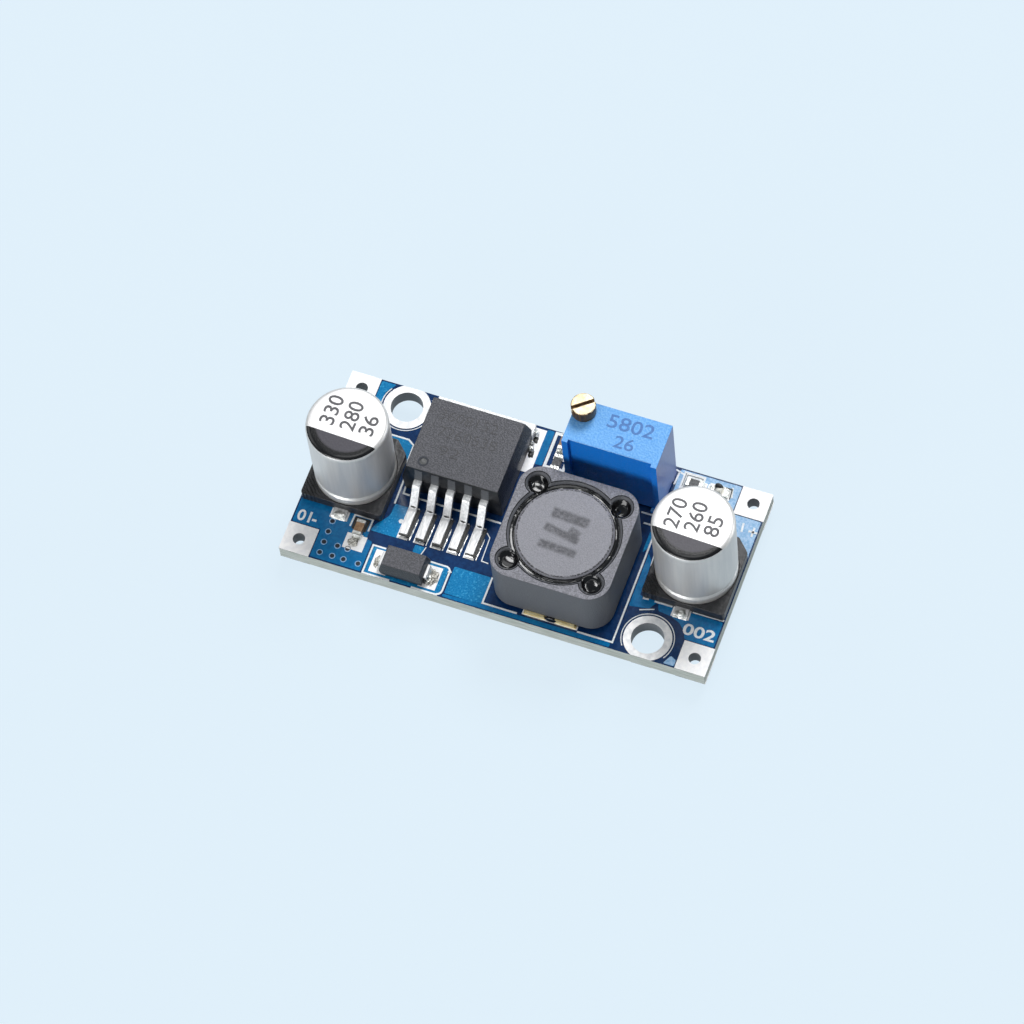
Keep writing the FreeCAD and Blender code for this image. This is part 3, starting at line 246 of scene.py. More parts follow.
@dataclass(frozen=True)
class MaskedLaminate(Finish):
    """Glass-fibre board under blue solder mask: glossy on its faces, pale and dull on its cut edge."""

    edge: str = "#dfe6e2"
    edge_fibre: str = "#b9c4bd"
    edge_roughness: float = 0.75
    fibre: float = 0.35
    fibre_run: tuple[float, float, float] = (0.2, 0.2, 4)

    def paint(self, recipe: Recipe) -> None:
        """Mask on the faces and streaked fibre on the edges."""
        mask = recipe.two_tone(recipe.speckle(self.grain), self.colour, self.spots)
        fibre = recipe.speckle(self.fibre, stretch=self.fibre_run)
        edge = recipe.two_tone(fibre, self.edge, self.edge_fibre)
        recipe.link(recipe.two_tone(recipe.faces_up(), edge, mask), "Base Color")
        recipe.vary("Roughness", recipe.faces_up(), self.edge_roughness, self.roughness)
        recipe.relief(recipe.speckle(self.grain), self.depth)


@dataclass(frozen=True)
class SpeckledMask(Finish):
    """Solder mask over bright copper: small glints of the copper's grain show through."""

    glint: str = "#3399cb"
    glint_size: float = 0.192

    def paint(self, recipe: Recipe) -> None:
        """Two blues with sparse small glints."""
        mask = recipe.two_tone(recipe.speckle(self.grain), self.colour, self.spots)
        glints = recipe.speckle(self.glint_size, 0.62, 0.8, detail=0.0)
        recipe.link(recipe.two_tone(glints, mask, self.glint), "Base Color")
        recipe.relief(glints, self.depth)


@dataclass(frozen=True)
class MouldedResin(Finish):
    """Moulded resin: a matte spark-eroded top with fine spots and smoother draft walls, painted in two tones
    by which way a face looks, as light and shade.
    """

    wall: str = "#2b2d33"
    wall_roughness: float = 0.4

    def paint(self, recipe: Recipe) -> None:
        """A spotted top over plain walls, each in its own painted tone of light and shade."""
        grain = recipe.speckle(self.grain, 0.38, 0.62)
        top = recipe.two_tone(grain, self.colour, self.spots)
        recipe.link(recipe.two_tone(recipe.faces_up(), self.wall, top), "Base Color")
        recipe.vary("Roughness", recipe.faces_up(), self.wall_roughness, self.roughness)
        recipe.relief(grain, self.depth)


@dataclass(frozen=True)
class PlatedTin(MouldedResin):
    """Levelled tin: bright on the faces, and duller with darker grey painted down a hole's barrel as shade.
    """

    wall: str = "#6f7174"
    wall_roughness: float = 0.5


@dataclass(frozen=True)
class PolarityPrintAndReflection(Finish):
    """Black print on a can's top: painted grey on the flat as its glossy reflection, and black where it bends
    over the rim.
    """

    centre: Point = (0.0, 0.0)
    flat: float = 2.98
    bend: float = 0.22
    rim: str = "#0b0b0d"
    rim_roughness: float = 0.25

    def paint(self, recipe: Recipe) -> None:
        """Spotted grey of painted reflection that turns black from the flat's edge outwards."""
        place = recipe.from_axis(self.centre)
        radius = recipe.add("ShaderNodeVectorMath", {0: place}, operation="LENGTH").outputs["Value"]
        spread = {"Value": radius, "From Min": self.flat, "From Max": self.flat + self.bend}
        edge = recipe.add("ShaderNodeMapRange", spread).outputs[0]
        grain = recipe.speckle(self.grain)
        flat = recipe.two_tone(grain, self.colour, self.spots)
        recipe.link(recipe.two_tone(edge, flat, self.rim), "Base Color")
        recipe.vary("Roughness", edge, self.roughness, self.rim_roughness)
        recipe.relief(grain, self.depth)


@dataclass(frozen=True)
class RippledMoulding(Finish):
    """Phenolic moulding of a can's base: near black and mottled, with flow ripples at one corner."""

    ripple: float = 0.34
    corner: Point = (0.0, 0.0)
    full: float = 0.8
    faded: float = 1.6
    mottle: float = 0.12

    def paint(self, recipe: Recipe) -> None:
        """Mottled spots with bent ripples in the relief near the corner."""
        grain = recipe.speckle(self.grain)
        recipe.link(recipe.two_tone(grain, self.colour, self.spots), "Base Color")
        flat = recipe.from_axis(self.corner)
        away = recipe.add("ShaderNodeVectorMath", {0: flat}, operation="LENGTH").outputs["Value"]
        spread = {"Value": away, "From Min": self.faded, "From Max": self.full}
        near = recipe.add("ShaderNodeMapRange", spread).outputs[0]
        waves = {"Vector": flat, "Scale": 0.5 / self.ripple, "Distortion": 2.5, "Detail": 1.0}
        ripple = recipe.add("ShaderNodeTexWave", waves, bands_direction="DIAGONAL").outputs[1]
        folds = recipe.add("ShaderNodeMath", {0: ripple, 1: near}, operation="MULTIPLY").outputs[0]
        both = recipe.add("ShaderNodeMath", {0: grain, 1: self.mottle, 2: folds}, operation="MULTIPLY_ADD")
        recipe.relief(both.outputs[0], self.depth)


@dataclass(frozen=True)
class DrawnMetal(Finish):
    """Metal sheet or wire drawn through a die: fine streaks along one axis."""

    streak: tuple[float, float, float] = (1, 1, 0.06)
    sheen: tuple[float, float] = (0.9, 1.15)

    def paint(self, recipe: Recipe) -> None:
        """Streaks in colour, sheen and relief."""
        streaks = recipe.speckle(self.grain, stretch=self.streak)
        recipe.link(recipe.two_tone(streaks, self.colour, self.spots), "Base Color")
        smooth, dull = (share * self.roughness for share in self.sheen)
        recipe.vary("Roughness", streaks, smooth, dull)
        recipe.relief(streaks, self.depth)


@dataclass(frozen=True)
class LacqueredCan(DrawnMetal):
    """Drawn aluminium with a clear matte lacquer: streaked metal on the wall, and a top painted white and
    less metallic as a sheen.
    """

    top: str = "#fbfafa"
    top_spots: str = "#f3f2f3"
    top_grain: float = 0.2
    top_metallic: float = 0.3

    def paint(self, recipe: Recipe) -> None:
        """Streaked wall under a top painted white as sheen."""
        streaks = recipe.speckle(self.grain, stretch=self.streak)
        wall = recipe.two_tone(streaks, self.colour, self.spots)
        sheen_top = recipe.two_tone(recipe.speckle(self.top_grain), self.top, self.top_spots)
        recipe.link(recipe.two_tone(recipe.faces_up(), wall, sheen_top), "Base Color")
        recipe.vary("Metallic", recipe.faces_up(), self.metallic, self.top_metallic)
        recipe.relief(streaks, self.depth)


@dataclass(frozen=True)
class TurnedMetal(Finish):
    """Metal turned on a lathe: rings round an upright axis, with a little tarnish."""

    centre: Point = (0.0, 0.0)
    ring: float = 0.12

    def paint(self, recipe: Recipe) -> None:
        """Rings round the axis in the relief, and cloudy tarnish."""
        place = recipe.from_axis(self.centre, flat=False)
        rings = {"Vector": place, "Scale": 0.5 / self.ring, "Distortion": 0.6}
        turned = recipe.add("ShaderNodeTexWave", rings, wave_type="RINGS", rings_direction="Z").outputs[1]
        tarnish = recipe.speckle(self.grain)
        recipe.link(recipe.two_tone(tarnish, self.colour, self.spots), "Base Color")
        recipe.relief(turned, self.depth)


@dataclass(frozen=True)
class InkedFerrite(Finish):
    """Ground ferrite, matte and fine, with a dotted ring of glue and smudged bars of grey ink."""

    ink: str = "#45464c"
    smudge: float = 0.3
    softness: float = 0.15
    centre: Point = (0.0, 0.0)
    ring: float = 4.55
    ring_half: float = 0.07
    ring_dots: float = 0.16
    ring_colour: str = "#26262a"
    bars: tuple[tuple[Point, float, float, float], ...] = ()

    def paint(self, recipe: Recipe) -> None:
        """Grain under the ring and the bars, each bar a centre, half length, half width and turn."""
        grain = recipe.speckle(self.grain, 0.3, 0.7)
        colour = recipe.two_tone(grain, self.colour, self.spots)
        place = recipe.from_axis(self.centre)
        radius = recipe.add("ShaderNodeVectorMath", {0: place}, operation="LENGTH").outputs["Value"]
        band = {0: radius, 1: self.ring, 2: self.ring_half}
        ring = recipe.add("ShaderNodeMath", band, operation="COMPARE").outputs[0]
        dots = {0: recipe.speckle(self.ring_dots, 0.42, 0.52), 1: ring}
        dotted = recipe.add("ShaderNodeMath", dots, operation="MULTIPLY").outputs[0]
        colour = recipe.two_tone(dotted, colour, self.ring_colour)
        smudge = recipe.speckle(self.smudge, 0.0, 0.6)
        for middle, half_length, half_width, turn in self.bars:
            about = recipe.from_axis(middle, flat=False)
            turned = {"Vector": about, "Rotation": (0, 0, math.radians(-turn))}
            along = recipe.add("ShaderNodeMapping", turned).outputs[0]
            parts = recipe.add("ShaderNodeSeparateXYZ", {0: along}).outputs
            cover = smudge
            for way, half in ((parts[0], half_length), (parts[1], half_width)):
                size = recipe.add("ShaderNodeMath", {0: way}, operation="ABSOLUTE").outputs[0]
                soft = {"Value": size, "From Min": half + self.softness, "From Max": half - self.softness}
                inside = recipe.add("ShaderNodeMapRange", soft).outputs[0]
                cover = recipe.add("ShaderNodeMath", {0: cover, 1: inside}, operation="MULTIPLY").outputs[0]
            colour = recipe.two_tone(cover, colour, self.ink)
        recipe.link(colour, "Base Color")
        recipe.relief(grain, self.depth)


# Blue solder mask is a thin glossy coat: near black-blue on laminate, brighter over copper the thinner it is;
# its palest tone adds a painted sheen to the copper under it
BARE_BOARD = MaskedLaminate("blue_mask_on_laminate", "#0a2c58", "#113868", 0.35, 0.12, depth=0.0006)
DEEP_MASK = Finish("blue_mask_on_copper_deep", "#0067a2", "#0877b2", 0.3, 0.12, depth=0.0008)
BRIGHT_MASK = SpeckledMask("blue_mask_on_copper_bright", "#0071ab", "#1883bc", 0.16, 0.14, depth=0.001)
PALE_MASK_AND_SHEEN = Finish("blue_mask_on_copper_pale_and_painted_sheen", "#7dafda", "#a6c9ea", 0.22, 0.16, depth=0.001)
# Screen ink is matte white and a little uneven, and a via's mouth is painted near black as the shade of a
# hole too deep to show its floor
SCREEN_INK = Finish("white_screen_ink", "#f2f5f6", "#dfe6ea", 0.2, 0.6, depth=0.004)
VIA_MOUTH_SHADE = Finish("via_mouth_painted_shade", "#030b16", "#06152a", 0.1, 0.5, depth=0.002)
# Levelled tin is white and faintly lumpy, solder bright with smooth hollows, and painted shade on the board
# nearly black
LEVELLED_TIN = PlatedTin("levelled_tin", "#fdfdfd", "#f2f3f5", 0.45, 0.45, 0.1, depth=0.005)
RING_TIN = PlatedTin("levelled_tin_on_rings", "#f6f6f6", "#e0e2e4", 0.5, 0.4, 0.25, depth=0.004)
SOLDER = Finish("solder", "#f2f2ef", "#c4c5bf", 0.35, 0.28, 0.7, depth=0.02)
TINNED_LEAD = DrawnMetal("tinned_lead", "#ececec", "#cfd0d1", 0.25, 0.38, 0.4, 0.006, streak=(1, 0.25, 1))
DULL_SOLDER = Finish("dull_solder", "#cfcdc6", "#5d5a53", 0.16, 0.45, 0.3, depth=0.03)
PAINTED_SHADE = Finish("painted_shade_on_board", "#141516", "#2b2c2b", 0.2, 0.4, depth=0.006)
# Strip and wire are streaked along the way that they were rolled or drawn, gilt and bronze warm, steel cold
GILT = DrawnMetal("gilt_clip", "#f6e9b8", "#dcc07a", 0.3, 0.35, 0.5, 0.005, streak=(0.3, 1, 1))
BRONZE = DrawnMetal("spring_bronze", "#d2a868", "#a9824a", 0.3, 0.35, 1.0, 0.004)
STEEL = DrawnMetal("spring_steel", "#b9bbbd", "#8f9294", 0.3, 0.35, 1.0, 0.004)
# Drawn aluminium under matte lacquer is silky on the wall, and its top is painted white as a sheen
CAN_METAL_TOP_SHEEN = LacqueredCan("drawn_aluminium_painted_top_sheen", "#d9d8d6", "#d1d1d0", 0.35, 0.42, 0.5, 0.0004)
CAN_INK = Finish("can_marking_ink", "#47474a", "#5e5e62", 0.15, 0.5, depth=0.002)
# Moulding compound is dark grey with spark-eroded spots on top and polished walls; the top is painted lighter
# as sheen, and the walls darker and the front wall near black as painted shade
PACKAGE = MouldedResin("package_epoxy", "#393a40", "#52535a", 0.16, 0.5, depth=0.02, wall="#24272c")
PACKAGE_INK = Finish("package_marking", "#323236", "#3f3f43", 0.16, 0.5, depth=0.01)
PACKAGE_FRONT_SHADE = Finish("package_epoxy_front_painted_shade", "#131415", "#1b1c1e", 0.3, 0.3, depth=0.004)
PACKAGE_RIB = MouldedResin("package_epoxy_rib", "#4a4c4d", "#565859", 0.2, 0.5, depth=0.01, wall="#53565a")
# Sintered ferrite is a granular warm grey with fine spots on its ground top, painted paler there and darker
# on its walls as light and shade
SHIELD = MouldedResin("sintered_ferrite", "#686970", "#8a8b94", 0.13, 0.5, depth=0.02,
                      wall="#585a5f", wall_roughness=0.5)
DRUM = InkedFerrite("ground_ferrite", "#797a81", "#8d8e97", 0.12, 0.5, depth=0.01, centre=(5.45, -3.05),
                    bars=(((5.45, -1.38), 1.85, 0.52, -3.0), ((5.2, -3.2), 1.8, 0.38, -10.0),
                          ((5.3, -4.78), 1.9, 0.4, -3.0), ((6.25, -2.95), 0.55, 0.6, -20.0)))
# Set epoxy is black glass in thick drops, and enamel turns copper wire a glossy red brown
ADHESIVE = Finish("set_epoxy_glue", "#08080a", "#111113", 0.9, 0.14, depth=0.004)
ENAMELLED_WIRE = DrawnMetal("enamelled_copper", "#b5561f", "#8e3f14", 0.2, 0.25, 0.7, 0.02, streak=(1, 1, 5))
BLACK_PLATE = Finish("black_base_plate", "#1d1d1f", "#29292c", 0.3, 0.5)
# Glass-filled polyester is deep blue and glossy on its polished walls and frosted on top, where a paler blue
# is painted as sheen; the case's right end is painted greyer as a reflection
TRIMMER_CASE_TOP_SHEEN = MouldedResin("trimmer_polyester", "#549fe8", "#72b4f0", 0.2, 0.5, depth=0.02,
                            wall="#1a80e6", wall_roughness=0.12)
TRIMMER_END_REFLECTION = Finish("trimmer_polyester_end_painted_reflection", "#2a50a0", "#385eae", 0.3, 0.3, depth=0.001)
TRIMMER_FLASH = Finish("trimmer_polyester_flash", "#8cc4f6", "#5ea6e6", 0.12, 0.5, depth=0.01)
TRIMMER_PLATE = Finish("trimmer_base_resin", "#17407c", "#1f4c8c", 0.3, 0.5)
TRIMMER_INK = Finish("trimmer_marking", "#2a66ad", "#3a77bd", 0.15, 0.45)
# The drive's nylon is creamy, its seal dull red, and the ceramic chalk white under matte black track
NYLON = Finish("rotor_nylon", "#e9e6db", "#d8d4c7", 0.4, 0.45)
RUBBER = Finish("seal_rubber", "#8c3a2c", "#7a3024", 0.2, 0.7)
WHITE_CERAMIC = Finish("alumina", "#efede4", "#e2dfd4", 0.15, 0.6)
CERMET = Finish("cermet_ink", "#2c2b2a", "#3a3938", 0.1, 0.45)
# Chip parts: fired tan ceramic, glossy black glaze, and dull plated ends
TAN_CERAMIC = Finish("capacitor_ceramic", "#a1805c", "#7f6145", 0.25, 0.4, depth=0.01)
RESISTOR_GLAZE = Finish("resistor_glaze", "#2c2d30", "#47494d", 0.18, 0.3, depth=0.006)
CHIP_TIN = Finish("chip_end_tin", "#dcdcd8", "#a9aaa4", 0.2, 0.32, 0.85, depth=0.02)
# Brass is tarnished brown where no driver rubs it, and that brown is painted darker on the screw's side and
# slot walls as shade and reflection; the lamp's resin is milky
BRASS_TARNISH_AND_SHADE = DrawnMetal("tarnished_brass_and_painted_shade", "#4c3522", "#75552f", 0.2, 0.4, 0.6, 0.004)
LAMP_RESIN = Finish("lamp_resin", "#e6e4da", "#cfd0c8", 0.3, 0.3)


def dress(finish: Finish, *nodes: str) -> None:
    """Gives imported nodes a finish.

    Args:
        finish: the finish.
        nodes: the nodes' names.
    """
    for node in nodes:
        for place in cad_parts[node].material_slots:
            place.material = finish.material()
        log.info("%s dressed in %s", node, finish.name)


def finish_piece(name: str, shape: bmesh.types.BMesh, finishes: list[Finish],
                 replaces: tuple[str, ...] = (), body: str = HOME, smooth: float = 35.0) -> None:
    """Turns a finished shape into a piece that rides on a body.

    Args:
        name: the piece's name.
        shape: its shape in metres, in the module's frame; it is freed.
        finishes: the finishes, in the order of the faces' material numbers.
        replaces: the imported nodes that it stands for.
        body: the body that it rides on.
        smooth: edges that turn by more degrees than this stay sharp.
    """
    mesh = bpy.data.meshes.new(name)
    shape.to_mesh(mesh)
    shape.free()
    mesh.shade_smooth()
    mesh.set_sharp_from_angle(angle=math.radians(smooth))
    for finish in finishes:
        mesh.materials.append(finish.material())
    piece = bpy.data.objects.new(name, mesh)
    bpy.context.scene.collection.objects.link(piece)
    weighted = piece.modifiers.new("flat_faces", "WEIGHTED_NORMAL")
    weighted.keep_sharp = True
    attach(piece, body)
    if replaces:
        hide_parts(*replaces)
    log.info("%s: %d faces on %s", name, len(mesh.polygons), body)


def merged_copy_of(node: str) -> bmesh.types.BMesh:
    """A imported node's mesh with its doubles merged.

    Args:
        node: the node's name.

    Returns:
        The copy.
    """
    shape = bmesh.new()
    shape.from_mesh(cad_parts[node].data)
    bmesh.ops.remove_doubles(shape, verts=shape.verts, dist=SAME_PLACE * MM)
    return shape


def copy_of(node: str) -> bmesh.types.BMesh:
    """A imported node's mesh with its doubles merged and its flat faces whole.

    Args:
        node: the node's name.

    Returns:
        The copy.
    """
    shape = merged_copy_of(node)
    bmesh.ops.dissolve_limit(shape, angle_limit=math.radians(0.4), verts=shape.verts, edges=shape.edges)
    return shape


def soften(shape: bmesh.types.BMesh, width: float, segments: int = 2, angle: float = 40.0,
           keep: Callable[[bmesh.types.BMEdge], bool] | None = None) -> None:
    """Rounds a shape's sharp edges.

    Args:
        shape: the shape.
        width: the rounding in millimetres.
        segments: how many facets it has.
        angle: an edge that turns by more degrees than this is rounded.
        keep: a test that an edge has to pass, or None.
    """
    sharp = [
        edge for edge in shape.edges
        if edge.is_manifold and edge.calc_face_angle(0) > math.radians(angle)
        and (keep is None or keep(edge))
    ]
    bmesh.ops.bevel(shape, geom=sharp, offset=width * MM, offset_type="OFFSET", segments=segments,
                    profile=0.5, affect="EDGES", material=-1, clamp_overlap=True)


def thicken(part: bmesh.types.BMesh, offset: Sequence[float]) -> None:
    """Turns a flat sheet into a slab.

    Args:
        part: the sheet.
        offset: where its other side lies from it, in millimetres.
    """
    raised = bmesh.ops.extrude_face_region(part, geom=part.faces[:])
    moved = [item for item in raised["geom"] if isinstance(item, bmesh.types.BMVert)]
    bmesh.ops.translate(part, verts=moved, vec=Vector(offset) * MM)


def add_plate(shape: bmesh.types.BMesh, outline: list[Point], low: float, high: float,
              corner: float = 0.0, finish: int = 0) -> None:
    """Adds a flat plate with rounded corners.

    Args:
        shape: the shape that it joins.
        outline: its corners in millimetres, in order.
        low: its underside in millimetres.
        high: its top in millimetres.
        corner: the rounding of its corners in millimetres.
        finish: the number of its finish.
    """
    part = bmesh.new()
    corners = [part.verts.new((x * MM, y * MM, low * MM)) for x, y in outline]
    part.faces.new(corners)
    if corner:
        bmesh.ops.bevel(part, geom=corners, offset=corner * MM, offset_type="OFFSET", segments=4,
                        profile=0.5, affect="VERTICES", material=-1, clamp_overlap=True)
    thicken(part, (0, 0, high - low))
    join_into(shape, part, finish)


def join_into(shape: bmesh.types.BMesh, part: bmesh.types.BMesh, finish: int = 0) -> None:
    """Adds a closed part to a shape, with its faces turned outwards.

    Args:
        shape: the shape that grows.
        part: the part; it is freed.
        finish: the number of its finish.
    """
    bmesh.ops.recalc_face_normals(part, faces=part.faces)
    for face in part.faces:
        face.material_index = finish
    mesh = bpy.data.meshes.new("part")
    part.to_mesh(mesh)
    part.free()
    shape.from_mesh(mesh)
    bpy.data.meshes.remove(mesh)


def add_stroke(shape: bmesh.types.BMesh, path: list[Point], width: float, low: float, high: float,
               closed: bool = False, finish: int = 0) -> None:
    """Adds a printed line with mitred corners.

    Args:
        shape: the shape that it joins.
        path: the line's points in millimetres.
        width: its width in millimetres.
        low: its underside in millimetres.
        high: its top in millimetres.
        closed: True where the last point joins the first.
        finish: the number of its finish.
    """
    points = [Vector(p) for p in path]
    count = len(points)
    part = bmesh.new()
    rails = []
    for i, here in enumerate(points):
        ways = []
        if closed or i:
            ways.append((here - points[i - 1]).normalized())
        if closed or i < count - 1:
            ways.append((points[(i + 1) % count] - here).normalized())
        along = sum(ways, Vector((0, 0))).normalized()
        reach = width / 2 / max(along.dot(ways[0]), 0.4)
        side = Vector((-along.y, along.x)) * reach
        rails.append([part.verts.new((*(here + s * side) * MM, low * MM)) for s in (1, -1)])
    pairs = list(zip(rails, rails[1:] + ([rails[0]] if closed else [])))
    for (a, b), (c, d) in pairs:
        part.faces.new((a, b, d, c))
    thicken(part, (0, 0, high - low))
    join_into(shape, part, finish)


def arc(centre: Point, radius: float, start: float, end: float, count: int) -> list[Point]:
    """Points along an arc.

    Args:
        centre: its centre in millimetres.
        radius: its radius in millimetres.
        start: its first angle in degrees.
        end: its last angle in degrees.
        count: how many points it has.

    Returns:
        The points.
    """
    angles = [math.radians(start + (end - start) * i / (count - 1)) for i in range(count)]
    return [(centre[0] + radius * math.cos(a), centre[1] + radius * math.sin(a)) for a in angles]


def add_figures(shape: bmesh.types.BMesh, text: str, centre: Point, length: float, height: float,
                turn: float, low: float, high: float, finish: int = 0, thin: float = -0.012) -> None:
    """Adds plain numbers as thin printed plates.

    Args:
        shape: the shape that they join.
        text: the figures.
        centre: the middle of their line in millimetres.
        length: the line's length in millimetres.
        height: the figures' height in millimetres.
        turn: the reading direction in degrees from +X.
        low: their underside in millimetres.
        high: their top in millimetres.
        finish: the number of their finish.
        thin: how much the stroke is drawn in, as a share of the type size.
    """
    curve = bpy.data.curves.new("figures", "FONT")
    curve.body = text
    curve.extrude = 0.5
    curve.offset = thin
    curve.resolution_u = 4
    holder = bpy.data.objects.new("figures", curve)
    bpy.context.scene.collection.objects.link(holder)
    mesh = bpy.data.meshes.new_from_object(holder)
    bpy.data.objects.remove(holder)
    part = bmesh.new()
    part.from_mesh(mesh)
    bpy.data.meshes.remove(mesh)
    bmesh.ops.remove_doubles(part, verts=part.verts, dist=1e-5)
    xs, ys = [v.co.x for v in part.verts], [v.co.y for v in part.verts]
    middle = Vector(((min(xs) + max(xs)) / 2, (min(ys) + max(ys)) / 2, 0))
    scale = Matrix.Diagonal((length / (max(xs) - min(xs)), height / (max(ys) - min(ys)), high - low, 1))
    place = Matrix.Translation((*centre, (low + high) / 2)) @ Matrix.Rotation(math.radians(turn), 4, "Z")
    whole = Matrix.Scale(MM, 4) @ place @ scale @ Matrix.Translation(-middle)
    bmesh.ops.transform(part, matrix=whole, verts=part.verts)
    join_into(shape, part, finish)


def add_blob(shape: bmesh.types.BMesh, centre: tuple[float, float, float], radii: tuple[float, float, float],
             floor: float, seed: float, rough: float = 0.12, finish: int = 0) -> None:
    """Adds a drop of solder or glue: a lumpy dome that sits on a surface.

    Args:
        shape: the shape that it joins.
        centre: its middle in millimetres.
        radii: its half sizes in millimetres.
        floor: the height in millimetres of the surface that cuts its underside flat.
        seed: where its lumps are taken from.
        rough: the lumps' share of its size.
        finish: the number of its finish.
    """
    part = bmesh.new()
    bmesh.ops.create_icosphere(part, subdivisions=4, radius=1.0)
    for vert in part.verts:
        lump = noise.noise(vert.co * 1.6 + Vector((seed, seed * 1.7, 0)))
        swollen = vert.co * (1 + rough * lump)
        place = Vector(centre) + Vector([s * r for s, r in zip(swollen, radii)])
        place.z = max(place.z, floor)
        vert.co = place * MM
    bmesh.ops.dissolve_degenerate(part, dist=0.0002 * MM, edges=part.edges)
    join_into(shape, part, finish)


def add_turned(shape: bmesh.types.BMesh, centre: Point, profile: list[Point], steps: int = 64,
               finish: int = 0) -> None:
    """Adds a ring turned round an upright axis from a closed profile.

    Args:
        shape: the shape that it joins.
        centre: the axis in millimetres.
        profile: the section's corners as (radius, height) in millimetres.
        steps: how many steps the turn has.
        finish: the number of its finish.
    """
    part = bmesh.new()
    corners = [part.verts.new((r * MM, 0, z * MM)) for r, z in profile]
    edges = [part.edges.new(pair) for pair in zip(corners, corners[1:] + corners[:1])]
    bmesh.ops.spin(part, geom=corners + edges, cent=(0, 0, 0), axis=(0, 0, 1),
                   angle=math.tau, steps=steps, use_merge=True)
    bmesh.ops.remove_doubles(part, verts=part.verts, dist=0.0002 * MM)
    bmesh.ops.translate(part, verts=part.verts, vec=(centre[0] * MM, centre[1] * MM, 0))
    join_into(shape, part, finish)


